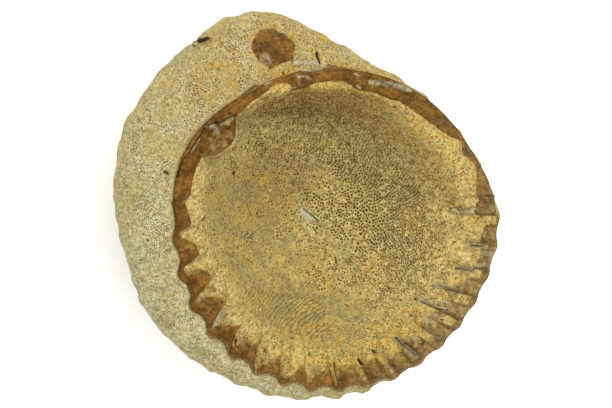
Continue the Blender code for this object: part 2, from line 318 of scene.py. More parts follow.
FLOOR_CUTS = (
    (((0.95, 0.0), (1.6, -0.5), (2.75, -1.45)), 0.07, 0.32),
    (((1.8, 5.6), (3.15, 4.85)), 0.06, 0.2),
    (((-8.85, 5.15),), 0.24, 0.6),
    (((-6.6, 0.85), (-6.35, 0.2), (-6.1, -0.3)), 0.08, 0.2),
    (((-0.6, 3.2), (-0.3, 2.9)), 0.14, 0.3),
    (((-4.2, 5.4), (-4.1, 4.9)), 0.14, 0.25),
    (((-7.6, -4.9), (-6.6, -5.6)), 0.07, 0.2),
    (((-2.6, 8.3),), 0.18, 0.35),
)
CRUST_CUTS = (
    (((-15.9, 22.1), (-15.1, 22.5)), 0.24, 0.7),
    (((-16.5, 21.6),), 0.25, 0.35),
    (((-2.72, 21.1), (-2.62, 20.4), (-2.5, 19.9)), 0.13, 0.7),
    (((-20.9, 7.7), (-20.6, 7.5)), 0.22, 0.4),
    (((-21.3, 8.0),), 0.12, 0.3),
    (((-22.6, -0.4),), 0.14, 0.35),
    (((-21.4, 17.6), (-21.1, 17.9)), 0.12, 0.3),
)
CRUST_CUTS_END = (0.14, 0.17)
CUT_FALL = 1.6
# Cuts are painted black inside as a painted shade, starting at the first depth and full from the second
CUT_SHADE_FROM = (0.12, 0.45)

# Chalky streaks on the rim: lines of (angle, inset) with a half width. Along those of the second list the
# lining is missing too
CHALK_STREAKS = (
    (((350.2, 0.1), (349.6, 1.9)), 0.36), (((345.0, 1.2), (344.2, 1.7)), 0.3),
    (((339.0, 1.6), (337.5, 2.6)), 0.3), (((328.5, 2.4), (326.5, 3.4)), 0.45),
    (((319.0, 2.5), (317.0, 3.3)), 0.5), (((316.0, 0.6), (314.8, 2.4)), 0.2),
    (((309.5, 1.9), (309.0, 2.6)), 0.3), (((295.5, 0.5), (294.6, 1.5)), 0.2),
    (((285.2, 0.6), (284.4, 1.9)), 0.16), (((241.2, 0.2), (240.8, 2.4)), 0.1),
    (((193.0, 1.8), (191.6, 3.0)), 0.2), (((167.5, 2.0), (166, 2.9)), 0.2),
    (((140.4, 0.9), (139.5, 1.7), (140.5, 2.9)), 0.3), (((137.0, 2.3), (133.0, 2.5)), 0.3),
    (((77.0, 1.0), (70.0, 0.65), (62.5, 0.2)), 0.42), (((82.0, 1.9), (80.0, 2.2)), 0.14),
    (((84.5, 0.3), (83.0, 0.55)), 0.1), (((106.0, 0.2), (103.5, 0.35), (101.5, 0.9)), 0.16),
    (((108.4, 1.6), (107.4, 1.7)), 0.14), (((153.0, 0.35), (151.5, 0.85), (149, 1.02), (146, 0.9)), 0.07),
)
BARE_STREAKS = (
    (((5.6, 2.2), (3.8, 3.7)), 0.2), (((351.8, 0.8), (350.8, 2.3)), 0.12),
    (((342.4, 1.6), (341.0, 2.8)), 0.16), (((333.8, 1.6), (331.4, 3.8)), 0.18),
    (((325.4, 2.2), (322.2, 4.0)), 0.2), (((306.0, 0.6), (303.8, 3.0)), 0.2),
    (((218.0, 0.5), (217.4, 3.4)), 0.1),
)
MM_PER_DEGREE = 0.33

# How far apart the points of the crusts stand: (share, spacing) pairs for the seen side, and (share, number
# of points round) for the hidden side
OUTER_SPACINGS = ((0, 0.36), (0.2, 0.42), (0.4, 0.6), (1, 0.7))
LINING_SPACINGS = ((0, 0.25), (0.13, 0.27), (0.2, 0.4), (1, 0.42))
HIDDEN_RINGS = ((0.05, 260), (0.12, 180), (0.25, 110), (0.45, 60), (0.7, 30), (0.9, 12))
FIRST_HIDDEN_RING = 0.015
MEASURED_RINGS = 241
MEASURED_SPOKES = 7.5
LEAST_ROUND = 6
ROW_GAP = math.sin(math.pi / 3)
RING_STEP = 0.01

# How the points are scattered, in spacings, and eased, and how near to features edges are split, in rounds
OUTER_SEED = 11
LINING_SEED = 12
JITTER = 0.4
EASING = 0.5
CRUST_SPLITS = (0.4, 0.22)
VALVE_SPLITS = (0.35, 0.2)
BARE_EDGE_FURTHER = 0.05
ROWS_SPLIT_FROM = 0.15

# The valve's points round, and the shares of its rings on its two sides
VALVE_STEPS = 800
VALVE_UNDER = (0.002, 0.005, *np.linspace(0.01, 0.12, 20), 0.16, 0.22, 0.3, 0.45, 0.65, 0.85)
VALVE_OVER = (0, *np.linspace(0.004, 0.25, 44), 0.3, 0.4, 0.55, 0.75, 0.92)
CREASE_ANGLE = 50

# Pores: how strongly the pit's rim is painted with the pore colour, a painted shade, how much paler it is,
# the pit's depth in radii, the steps in which radii are rounded, and the space that a pore needs
PORE_RIM = 0.35
RIM_PALER = 4
PORE_DEPTH = 1.6
PORE_SPREAD = (0.8, 1.2)
PORE_STEP = 0.02
LEAST_PORE_STEPS = 4
PORE_SHARE = 0.45
PORE_WALL = 0.04
LEAST_SPACE = 0.13
UNSHADED = 0.05

# Pores outside stand in drifts: the chance of one between the drifts and what they add, and the same for
# the radius. There are fewer below, and none at the lip and under the resting spot
OUTER_DRIFTS = ((1, 2.6), (0.5, 0.9))
OUTER_DRIFT_ENDS = (-0.4, 0.3)
OUTER_CHANCE = (0.25, 0.6)
OUTER_RADIUS = (0.06, 0.035)
WIDE_PORES = 0.1
WIDE_BY = 0.03
FEWER_BELOW = (0.36, 0.5)
FEWER_BY = 0.75
OUTER_PORES = (0.004, 0.95)

# The lining's pores open from the smooth front of its floor to the back, along this direction
OPEN_DIRECTION = (0.8, 0.55)
OPEN_ENDS = (-5, 7)
OPEN_WAVES = (2.5, 4)
LINING_DRIFTS = (1, 1.8)
LINING_DRIFT_ENDS = (-0.3, 0.3)
LINING_CHANCE = (0.02, 0.22)
MOST_CHANCE = 0.96
CLOSED_PATCHES = 3.2
CLOSED_WAVES = (0.3, 1.0)
CLOSED_ENDS = (0.12, 0.4)
CLOSED_BY = 0.8
ELSEWHERE = 40
LINING_RADIUS = (0.09, 0.085)
RIM_CHANCE = 0.3
RIM_FINER = 0.6
RIM_PORES_END = (3.5, 6)
LEAST_PORE_COVER = 0.12
FEWER_IN_ROWS = 0.8
CLUSTER_CHANCE = 0.8
CLUSTER_OPEN = 0.7
CLUSTER_ENDS = (0.5, 1.0)

# Clusters of pores on the smooth floor, and orange spots: plan place and radius
PORE_CLUSTERS = (
    ((-9.0, 6.2), 0.9), ((-9.9, 7.1), 0.7), ((-2.7, 4.7), 0.6), ((-6.9, 3.7), 0.8), ((-0.6, 2.6), 0.7),
    ((-3.7, 1.3), 0.7), ((-5.1, 0.0), 0.7), ((-6.9, -2.8), 1.1), ((-2.3, -2.5), 0.7), ((1.6, -7.6), 2.0),
    ((-13.5, 4.6), 0.7), ((-8.0, 0.8), 0.5),
)
OCHRE_SPOTS = (
    ((1.6, -7.6), 2.2), ((2.1, 11.1), 0.9), ((14.8, 6.8), 1.6), ((12.4, -0.6), 1.5), ((8.5, -6.5), 2.5),
)
OCHRE_SPOT_ENDS = (0.4, 1.0)
OCHRE_RIM_ENDS = (2.5, 6.5)
OCHRE_WAVES = (0.3, 3)

# Pale and brown parts of the lining: browner and less pale under the hinge as a painted shade, and paler on
# the front wall as painted light. A stretch of the wall is its middle angle and spread
FLOOR_MIDDLE = (-3, 3.5)
CENTRE_ENDS = (2.5, 6.5)
OUT_FROM_CENTRE = (3, 9)
# The front wall is painted paler and less orange, as painted light
FRONT_WALL = (195, 48)
FRONT_WALL_ENDS = (3.5, 8)
UNDER_HINGE = (88, 42)
UNDER_HINGE_STARTS = (1.5, 3)
UNDER_HINGE_ENDS = (5, 11)
TOP_STARTS = (4, 8)
PALE_CHIP = ((1.45, -1.0), 0.55)
PALE_BACK = ((12.8, -2.6), 3.6)
PALE_WAVES = (0.25, 2.5)
PALE_BY_STREAKS = (0.1, 0.6)
WHITE_BY_STREAKS = (0.15, 0.4)
WHITE_LINE = ((0.8, -0.2), (1.75, -1.1))
WHITE_LINE_ENDS = (0.15, 0.5)
WHITE_WAVES = (0.15, 0.5)
THIN_ENDS = (0, 0.7)
THIN_WAVES = (0.5, 0.9)
THIN_WITHIN = 6
THINNEST = (245, 60)
ROW_PITS = (-0.2, 0.6)

# Orange and pale parts of the crust outside
OUTER_HINGE = (98, 40)
OUTER_HINGE_ENDS = (0.02, 0.14)
OUTER_OCHRE_WAVES = (0.3, 5)
OUTER_LEFT = (228, 62)
OUTER_PALE_WAVES = (0.45, 4)

# Chalk, dust and thin lines of painted shade on the rim; on the front tooth's lens the dust colour is painted
# light. A stretch is its middle angle and spread, the socket is an angle and inset, and a line of painted
# shade on the side of a rib is that far from its middle, in ribs
STREAK_ENDS = (0.4, 1.3)
STREAK_WAVES = (0.12, 0.6)
CHALK_EDGE_ENDS = (0.02, 0.12)
CHALK_EDGE_ANGLES = (200, 230)
CHALK_BARS = (330, 32)
CHALK_BARS_START = (0.3, 1.2)
DUSTY_BACK = (338, 48)
DUST_BY_LINING = (-0.8, 0.1)
SOCKET = (142.5, 2.9)
SOCKET_ENDS = (0.5, 0.8)
SOCKET_WAVES = (0.2, 0.5)
# The front tooth's lens: its angle and spread, and from this inset in it takes the dust colour as painted
# light
UNDER_TOOTH = (145, 7)
UNDER_TOOTH_FROM = 3
RIB_LINES = (325, 40)
RIB_LINE_AT = 0.27
RIB_LINE_HALF_WIDTH = 0.05

# Chalk, and black painted shade in the slit and the cuts, on the bare places outside
LEDGE_ROOM = 0.2
SLIT_SHADE_HALF_WIDTH = 0.08
CHALK_PATCH = (-9.0, 20.4)
PATCH_ENDS = (0.5, 0.95)
CHIP_ENDS = (0.4, 0.7)
ROUGH_CHALK_STARTS = (2.8, 4.4)
ROUGH_CHALK = 0.0825

# Linear colours
# The Pore colours are painted shade inside the pits and the fine dots
CRUST_COLOURS = {
    "Plain": (0.32, 0.275, 0.115), "Warm": (0.34, 0.265, 0.09), "Ochre": (0.38, 0.235, 0.045),
    "Pale": (0.47, 0.43, 0.25), "Pore": (0.15, 0.1, 0.03),
}
# The lining's pale colour is also painted light on its front wall
LINING_COLOURS = {
    "Plain": (0.255, 0.205, 0.077), "Warm": (0.35, 0.255, 0.065), "Ochre": (0.5, 0.295, 0.035),
    "Pale": (0.51, 0.41, 0.15), "Pore": (0.055, 0.027, 0.006),
}
# The warm pore colour is painted shade in the orange pits
WARM_PORE_SHADE = (0.17, 0.07, 0.01)
CHIP_WHITE = (0.42, 0.39, 0.28)
# Brown where the lining is thin, and as a painted shade under the hinge
THIN_AND_SHADE_BROWN = (0.24, 0.14, 0.035)
# Black painted shade in the cuts, the slit and along the sides of the ribs
SHADE_BLACK = (0.03, 0.02, 0.008)
SHELL_DARK = (0.105, 0.046, 0.007)
SHELL_LIGHT = (0.195, 0.09, 0.014)
SHELL_WARM = (0.29, 0.13, 0.017)
GROWTH_LINE = (0.06, 0.028, 0.008)
FAINT_STREAK = (0.25, 0.165, 0.045)
CHALK = (0.33, 0.295, 0.18)
# Dust, and painted light on the front tooth's lens
DUST_AND_LIGHT = (0.31, 0.225, 0.075)

# Clouds of noise in the materials: scale per millimetre, detail, and the noise values that give 0 and 1
GRAIN_CLOUDS = ((2.2, 4, 0.3, 0.7), (5.5, 2, 0.32, 0.68))
WARM_CLOUDS = (0.35, 6, 0.42, 0.6)
OCHRE_CLOUDS = (0.9, 4, 0.35, 0.7)
OCHRE_BLOTCHES = (0.6, 5, 0.52, 0.75)
PALE_AND_LIT_CLOUDS = (1.7, 4, 0.3, 0.6)
THIN_AND_SHADE_CLOUDS = (1.3, 4, 0.3, 0.6)
DOT_DRIFTS = (0.55, 5, 0.34, 0.56)
SHELL_CLOUDS = (0.7, 4, 0.36, 0.66)
SHELL_WARM_CLOUDS = (0.45, 3, 0.52, 0.7)
LINE_CLOUDS = (1.0, 5, 0.42, 0.66)
STREAK_CLOUDS = (1.0, 4, 0.5, 0.75)
CHALK_CLOUDS = (1.4, 5, 0.25, 0.55)
DUST_AND_LIGHT_CLOUDS = (1.5, 5, 0.38, 0.62)

# How strong the plain effects of the materials are, and their heights in millimetres
GRAIN_HEIGHT = 0.045
BLOTCHES = 0.5
CRUST_SPECKLE = (0.15, 0.85, 0.75, 1.25)
SHELL_SPECKLE = (0.2, 0.8, 0.72, 1.25)
# Fine dark dots stand for pores too fine to cut, a painted shade
DOTS = 0.5
DOTS_ON_OCHRE = 0.45
DOT_SCALE = 2.7
DOT_SIZE = (0.14, 0.38)
DOT_HEIGHT = -0.08
PORE_COLOURED = (0.25, 0.65)
WARM_SHELL = 0.6
GROWTH_LINES = 0.42
GROWTH_LINE_HEIGHT = -0.04
FAINT_STREAKS = 0.45
ALONG_EDGE = (0.25, 0.25, 3.2)
ACROSS_EDGE = (2.6, 2.6, 0.35)
SHELL_GRAIN = 0.5
SHELL_BUMP = 0.8
CRUST_ROUGHNESS = 0.85
SHELL_ROUGHNESS = 0.5
CHALKED_ROUGHNESS = (0.42, 0.85)
GLOSS = 0.15
SHELL_GLOSS = 0.05

# The photo's camera looks down at the hollow, tilted towards the front of the shell
CAMERA_TILT = math.radians(24)
CAMERA_TURN = math.radians(150)
CAMERA_DISTANCE = 450
SENSOR_WIDTH = 36
PIXELS_PER_MM = 8.57
PHOTO_SIZE = (612, 408)
RIM_MIDDLE_PIXEL = (335, 232)

# The studio, in metres and watts. A light is its name, size, power and direction
FLOOR_SIZE = 0.6
FLOOR_WHITE = 0.9
FLOOR_ROUGHNESS = 0.9
FLOOR_GLOW = 0.27
SKY = 0.89
LIGHT_DISTANCE = 0.6
LIGHTS = (("key", 0.4, 2.1, (-0.14, 0.68, 1.0)), ("fill", 0.6, 1.0, (0.3, -0.1, 1.0)))


def around(values, angle):
    """A smooth closed curve through values spaced evenly round the valve."""
    values = np.asarray(values, float)
    count = len(values)
    place = (angle / 360 * count) % count
    i = np.floor(place).astype(int)
    f = place - i
    a, b, c, d = (values[(i + k) % count] for k in (-1, 0, 1, 2))
    return b + 0.5 * f * (c - a + f * (2 * a - 5 * b + 4 * c - d + f * (3 * (b - c) + d - a)))


def through(pairs, angle):
    """A closed run of straight stretches through (angle, value) pairs."""
    return np.interp(angle % 360, *zip(*pairs), period=360)


def hump(away, reach):
    """1 at no distance, falling smoothly to 0 beyond the reach."""
    return np.exp(-((away / reach) ** 2))


def turned(angle, middle):
    """Degrees from the middle angle, the short way round."""
    return (angle - middle + 180) % 360 - 180


def bell(angle, middle, spread):
    """1 at the middle angle, falling smoothly to 0 either side."""
    return hump(turned(angle, middle), spread)


def smooth(low, high, value):
    """0 up to low, rising smoothly to 1 from high on."""
    share = np.clip((value - low) / (high - low), 0.0, 1.0)
    return share * share * (3 - 2 * share)


def fade(low, high, value):
    """1 up to low, falling smoothly to 0 from high on."""
    return 1 - smooth(low, high, value)


def roughness(points, size):
    """Soft noise from -1 to 1, whose lumps are about `size` across."""
    return np.array([noise.noise(point) for point in (points / size).tolist()])


def bumps(points, *layers):
    """Layers of soft noise put together, as (height, size) pairs."""
    return sum(height * roughness(points, size) for height, size in layers)


def from_spot(points, spot):
    """How far points are from a spot in plan."""
    return np.linalg.norm(points[:, :2] - spot, axis=1)


def line_distance(points, line):
    """The distance of plan points from a line of stretches, or from a single point."""
    best = np.full(len(points), np.inf)
    for start, end in zip(line, line[1:] or line):
        start = np.asarray(start, float)
        along = np.asarray(end, float) - start
        share = np.clip((points - start) @ along / max(along @ along, 1e-9), 0, 1)
        best = np.minimum(best, np.linalg.norm(points - start - share[:, None] * along, axis=1))
    return best


def from_lines(points, features):
    """How far plan points are from the nearest of the features' lines."""
    return np.min([line_distance(points, line) for line, *sizes in features], axis=0)


def rib_at(angle):
    """The rib number at an angle: negative just behind the hindmost rib, past the last one on the hinge."""
    sweep = (FIRST_RIB_ANGLE - angle + around(RIB_DRIFT, angle)) % 360
    counted = (np.sqrt(RIB_PITCH**2 + 4 * RIB_PITCH_GROWTH * sweep) - RIB_PITCH) / (2 * RIB_PITCH_GROWTH)
    return np.where(sweep > 360 - BEHIND_FIRST_RIB, (sweep - 360) / RIB_PITCH, counted)


def from_rib(rib):
    """How far a rib number is from the middle of its rib, in ribs."""
    return np.abs(rib - np.round(rib))


def ribbed(rib):
    return (rib > -0.5) & (rib < RIBS - 0.5)


def leaned(angle, inset):
    """The angle at the edge of the rib line that passes through a place on the rim."""
    return angle + around(RIB_LEAN, angle) * np.minimum(inset, LEAN_ENDS)


def ridge(angle):
    """1 along the top of each ridge inside the edge, 0 in the grooves between, and along the hinge."""
    rib = rib_at(angle)
    return ribbed(rib) * fade(RIDGE_HALF, GROOVE_HALF, from_rib(rib))


def groove(angle):
    """1 in the grooves between the ridges, 0 on the ridges and along the hinge."""
    return ribbed(rib_at(angle)) * (1 - ridge(angle))


def edge_radius(angle, frill=1.0):
    """The scalloped edge of the valve: it stands in at each ridge and out at each groove."""
    rise = smooth(FADED_SCALLOPS[0], STRONG_SCALLOPS[0], angle % 360)
    fall = smooth(FADED_SCALLOPS[1], STRONG_SCALLOPS[1], angle % 360)
    frill = frill * (FADED_TO + (1 - FADED_TO) * rise * fall)
    return around(EDGE_RADII, angle) + SCALLOP * frill * (groove(angle) - ridge(angle))


def inner_edge(angle, share):
    """The edge as the hollow follows it, with scallops that fade on the way in."""
    return edge_radius(angle, fade(*SCALLOPS_END, share))


def inset_at(angle, share):
    return share * inner_edge(angle, share)


def swelling(share):
    """How a swollen flank stands out on its way in from the edge: 0 at the edge, 1 at SWELL_AT."""
    return share / SWELL_AT * np.exp(1 - share / SWELL_AT)


def placed(angle, radius, share, deepest, height):
    """Points at an angle and radius, moved towards the deepest place by their share."""
    turn = np.radians(angle)
    x = radius * np.cos(turn) + deepest[0] * share
    y = radius * np.sin(turn) + deepest[1] * share
    return np.stack([x, y, height + 0 * x], axis=-1)


def away_from(surface, angle, share, distance):
    """The point at a distance from a surface, along its normal, on its upper and inner side."""
    near = np.minimum(share, LAST_SLOPE)
    # The slope is taken across a whole rib, so that neighbouring points don't cross over
    across = surface(angle + SLOPE_ACROSS, near) - surface(angle - SLOPE_ACROSS, near)
    inwards = surface(angle, near + SLOPE_INWARDS) - surface(angle, np.maximum(0.0, near - SLOPE_INWARDS))
    normal = np.cross(across, inwards)
    normal /= np.linalg.norm(normal, axis=-1, keepdims=True)
    return surface(angle, share) + normal * np.asarray(distance)[..., None]


def near_beak(angle, share, reach=BEAK_SHARE, least=BEAK_LEAST):
    """Whether places are on the flank below the beak, where the bare places are."""
    return (share < reach) & (bell(angle, BEAK_ANGLE, BEAK_REGION) > least)


def outside_reach(points):
    """How far plan places outside the valve lie from the nearest bare place: negative within it."""
    x, y = (points[:, :2] - WINDOW_MIDDLE).T
    window = np.hypot(x, y) - through(WINDOW_OUTLINE, np.degrees(np.arctan2(y, x)))
    x, y = (points[:, :2] - LEDGE_MIDDLE).T
    ledge = np.maximum(np.abs(x) - LEDGE_HALF_LENGTH, np.abs(y) - LEDGE_HALF_WIDTH)
    return np.min([window, ledge, from_spot(points, CHIP_MIDDLE) - CHIP_RADIUS], axis=0)


def ledge_slit(x, y, half_width):
    """1 in the slit along the ledge, for places measured from the ledge's middle."""
    return hump(y - SLIT_AT, half_width) * (x < SLIT_ENDS)


def bare_relief(points):
    """Growth lines round the tip of the beak, rough away from the hinge, and the steps of the ledge."""
    from_tip = from_spot(points, BEAK_TIP)
    rough = smooth(*ROUGH_STARTS, from_tip + bumps(points, ROUGH_FRAY))
    lines = np.sin(math.tau * (from_tip / BEAK_LINE_SPACING + bumps(points, BEAK_LINE_WAVES)))
    relief = (BEAK_LINE_HEIGHT + ROUGH_LINE_HEIGHT * rough) * lines + rough * bumps(points, ROUGH_BUMPS)
    x, y = (points[:, :2] - LEDGE_MIDDLE).T
    ledge = fade(*LEDGE_ENDS, np.abs(x) - LEDGE_HALF_LENGTH) * fade(*LEDGE_ENDS, np.abs(y) - LEDGE_HALF_WIDTH)
    step = LEDGE_STEP * (y < LEDGE_STEP_AT) - LEDGE_RISE + SLIT_DEPTH * ledge_slit(x, y, SLIT_HALF_WIDTH)
    return relief * (1 - ledge) + ledge * (step + bumps(points, LEDGE_BUMPS))


def plain_crust_outside(angle, share):
    """The crust's outer side with its lumps, before bare places and bumps."""
    beak = bell(angle, CRUST_BEAK_ANGLE, CRUST_BEAK_SPREAD)
    swell = around(CRUST_SWELLS, angle) + CRUST_BEAK_SWELL * beak
    lip_out = CRUST_LIP_OUT + CRUST_LIP_OUT_AT_BEAK * bell(angle, BEAK_ANGLE, BEAK_SPREAD)
    lip = edge_radius(angle, fade(0, CRUST_SCALLOPS_END, share)) + lip_out * smooth(0, CRUST_LIP_ENDS, share)
    top = EDGE_HEIGHT - around(CRUST_LIP_DROPS, angle)
    sunk = (1 - (1 - share) ** CRUST_FULLNESS) ** CRUST_SHOULDER
    radius = lip * (1 - share) + swell * swelling(share)
    point = placed(angle, radius, share, REST_SPOT, top - (CRUST_DEPTH - EDGE_HEIGHT + top) * sunk)
    ribs = RIBS_SHOWING * fade(*RIBS_HIDDEN_BY, swell) * (groove(angle) - ridge(angle))
    lumps = (bumps(point, LUMPS) + ribs) * smooth(0, LUMPS_START, share)
    out = point - (0, 0, EDGE_HEIGHT * LUMPS_STAND_OUT_FROM)
    out /= np.linalg.norm(out, axis=-1, keepdims=True)
    return point + out * lumps[:, None]


def bare_valve_outside(angle, share):
    """The valve's outer side as it is under the crust."""
    beak = bell(angle, BEAK_ANGLE, BEAK_SPREAD)
    radius = edge_radius(angle) * (1 - share) + BEAK_SWELL * beak * swelling(share)
    fullness = VALVE_FULLNESS + BEAK_FULLNESS * beak
    height = EDGE_HEIGHT - VALVE_DEPTH * (1 - (1 - share) ** fullness)
    return placed(angle, radius, share, DEEPEST, height - EDGE_ROUNDING * (share < ON_EDGE))


def valve_outside(angle, share):
    """The valve's outer side, which swells up to the crust in the bare places."""
    point = bare_valve_outside(angle, share)
    near = near_beak(angle, share)
    if near.any():
        crust = plain_crust_outside(angle[near], share[near])
        swollen = away_from(plain_crust_outside, angle[near], share[near], BARE_DEPTH + bare_relief(crust))
        level = fade(*SHELL_BLEND, outside_reach(crust)) * smooth(0, BARE_STARTS, share[near])
        point[near] += (swollen - point[near]) * level[:, None]
    return point


def cut_depth(places, cuts):
    """How deep the cuts are at places given as the cuts' own lines are."""
    depth = np.zeros(len(places))
    for line, half_width, deep in cuts:
        away = line_distance(places, line) / half_width
        depth = np.maximum(depth, deep * np.exp(-(away ** (2 * CUT_FALL))))
    return depth


def crust_cut_depth(points, share):
    """The cuts of the crust outside, which are all on its upper flank."""
    return cut_depth(points[:, :2], CRUST_CUTS) * fade(*CRUST_CUTS_END, share)


def crust_outside(angle, share):
    """The crust's outer side, banked down into the shell round the bare places."""
    crust = plain_crust_outside(angle, share)
    near = near_beak(angle, share)
    reach = np.full(len(crust), FAR)
    reach[near] = outside_reach(crust[near]) + bumps(crust[near], WINDOW_FRAY)
    depth = SUNK_DEPTH * fade(*BANK, reach) + crust_cut_depth(crust, share)
    depth = depth + smooth(0, CRUST_BUMPS_START, share) * bumps(crust, *CRUST_BUMPS)
    crust = away_from(plain_crust_outside, angle, share, depth)
    resting = (crust[:, 2] < 0) | (from_spot(crust, REST_SPOT) < REST_RADIUS)
    crust[resting, 2] = 0
    return crust


def crust_inside(angle, share):
    """The crust's hidden side, a gap away from the shell and sunk into it at the edge."""
    return away_from(bare_valve_outside, angle, share, np.where(share < CRUST_FOOT, EDGE_SINK, -GAP))


def on_rim(angle, inset):
    """Places on the rim unrolled, in millimetres along and in from the edge."""
    return np.stack([(angle % 360) * MM_PER_DEGREE, inset], axis=-1)


def unrolled(features):
    """Features of the rim with their lines in millimetres along and in from the edge."""
    return tuple(
        (tuple((angle * MM_PER_DEGREE, inset) for angle, inset in line), *sizes) for line, *sizes in features
    )


RIM_CUTS = unrolled(RIM_CUTS)
CHALK_STREAKS = unrolled(CHALK_STREAKS)
BARE_STREAKS = unrolled(BARE_STREAKS)


def tooth_height(angle, inset):
    """What the side teeth and their sockets add to the rim at a distance in from the edge."""
    total = 0.0
    for middle, half_length, at, half_width, rise in TEETH:
        along = bell(angle, middle, half_length)
        bowed = at * (1 - TOOTH_CURVE + TOOTH_CURVE * along) if rise > 0 else at
        total = total + rise * along * hump(inset - bowed, half_width)
    return total


def hollow(angle, share, relief_kept=1.0):
    """The hollow's wall: a sloping, ridged rim that rounds over into a bowl."""
    hinge = bell(angle, HINGE_ANGLE, HINGE_SPREAD)
    edge = inner_edge(angle, share) - EDGE_THICKNESS
    inset = edge * share
    width = around(RIM_WIDTHS, angle) - NARROWED_BY * bell(angle, NARROWEST_ANGLE, NARROW_SPREAD)
    slope = RIM_SLOPE + (HINGE_SLOPE - RIM_SLOPE) * hinge
    fullness = CAVITY_FULLNESS + HINGE_FULLNESS * hinge
    rim = -slope * inset
    inner = (edge - inset) / (edge - width)
    bowl = -slope * width - (CAVITY_DEPTH - slope * width) * (1 - inner**fullness)
    low = np.minimum(rim, bowl)
    meeting = np.exp((low - rim) / RIM_ROUNDING) + np.exp((low - bowl) / RIM_ROUNDING)
    soft = low - RIM_ROUNDING * np.log(meeting)
    along = turned(angle, LENS_ANGLE) / LENS_HALF_LENGTH
    across = (inset - LENS_AT + LENS_BEND * along**2) / LENS_HALF_WIDTH
    lens = LENS_TOP - LENS_FALL_ACROSS * across**2 - LENS_FALL_ALONG * along**2
    lens = np.maximum(lens, soft - LENS_FOOT)
    soft = np.maximum(lens, soft) + LENS_ROUNDING * np.log1p(np.exp(-np.abs(lens - soft) / LENS_ROUNDING))
    rib_line = leaned(angle, inset)
    relief = RIDGE_HEIGHT * ridge(rib_line) - GROOVE_DEPTH * groove(rib_line)
    relief = relief * smooth(*RIDGE_STARTS, inset) * fade(*RIDGE_ENDS, inset) * relief_kept
    height = EDGE_HEIGHT + soft + relief + tooth_height(angle, inset)
    return placed(angle, edge - inset, share, DEEPEST, height)


def valve_inside(angle, share):
    """The rim's own surface: rounded at the edge, with fine growth steps and cuts."""
    point = hollow(angle, share)
    inset = inset_at(angle, share)
    steps = np.sin(math.tau * (inset / STEP_SPACING + bumps(point, STEP_WAVES)))
    steps = STEP_HEIGHT * steps * np.exp(-inset / STEPS_FADE)
    point[:, 2] += steps + bumps(point, RIM_BUMPS) * smooth(*RIM_BUMPS_START, inset)
    point[:, 2] -= EDGE_ROUNDING * np.exp(-inset / EDGE_ROUNDED_BY)
    point[:, 2] -= cut_depth(on_rim(angle, inset), RIM_CUTS)
    return point


def joined(first, second, web):
    """The larger of two distances, with a rounded web where they meet."""
    share = np.clip(0.5 + 0.5 * (first - second) / web, 0, 1)
    return second + (first - second) * share + web * share * (1 - share)


def crust_cover(angle, inset):
    """How far a place on the rim is inside the lining's frayed outline: negative where the shell is bare."""
    hinge = through(HINGE_REACHES, angle)
    rise = through(HINGE_REACHES, angle + HINGE_STEP) - through(HINGE_REACHES, angle - HINGE_STEP)
    lean = rise / (2 * HINGE_STEP * MM_PER_DEGREE)
    cover = np.maximum((inset - hinge) / np.sqrt(1 + lean**2), inset - hinge - BARE_BEHIND)
    rib = rib_at(leaned(angle, inset))
    sides = np.arange(RIBS).repeat(2) + np.tile((-RIDGE_SIDE, RIDGE_SIDE), RIBS)
    main = inset - np.interp(rib, sides, np.ravel(RIDGE_REACHES))
    tip, half, patch = np.array(FINGERS)[np.clip(np.floor(rib) + 1, 0, RIBS).astype(int)].T
    aside = (half - np.abs(rib - np.floor(rib) - 0.5)) * RIB_PITCH_AT_EDGE + FINGER_WIDENS * inset
    fingered = joined(main, np.minimum(inset - tip, aside), WEB)
    island = np.min([inset - PATCH_STARTS, patch - inset, aside], axis=0)
    fingered = np.where(patch > 0, np.maximum(fingered, island), fingered)
    cover = np.where(ribbed(rib), fingered, cover)
    places = on_rim(angle, inset)
    streaks = [line_distance(places, line) - half_width for line, half_width in BARE_STREAKS]
    # The fray is read on a flat ring, so that it doesn't change with the height of the rim
    flat = placed(angle, FRAY_RADIUS - inset, 0, DEEPEST, 0)
    return np.min([cover, *streaks], axis=0) + bumps(flat, *COVER_FRAYS)


def lining_share(angle, share):
    """Shares of the lining, 0 at its own edge, turned into shares of the hollow."""
    first = around(LINING_STARTS, angle) / edge_radius(angle)
    return first + (1 - first) * share


def lining_inset(angle, share):
    return inset_at(angle, lining_share(angle, share))


def lining_under(angle, share):
    """The lining's hidden side, which sinks into the shell along the rim."""
    sunk = (GAP + FRINGE_SINK) * fade(*FRINGE_ENDS, lining_inset(angle, share))
    return away_from(hollow, angle, lining_share(angle, share), GAP - sunk)


def fingerprint(points):
    """Wavy rows on the floor below the middle: their strength, and 1 on a row, -1 between rows."""
    x, y = points[:, 0], points[:, 1]
    below = ROWS_BELOW[1] - ROWS_BELOW_FALLS * (x - ROWS_BELOW[0]) - y + bumps(points, ROWS_BELOW_FRAY)
    strength = smooth(*ROWS_START, below) * smooth(*ROWS_END, np.hypot(x, y)) * smooth(*ROWS_END_BEHIND, x)
    across = y * ROW_DIRECTION[0] - x * ROW_DIRECTION[1] + bumps(points, *ROW_WAVES)
    along = x * ROW_DIRECTION[0] + y * ROW_DIRECTION[1] + bumps(points, BEAD_WAVES)
    beads = 1 - BEAD_DEPTH + BEAD_DEPTH * np.sin(math.tau * along / ROW_SPACING / BEAD_LENGTH)
    return strength, np.sin(math.tau * across / ROW_SPACING) * beads


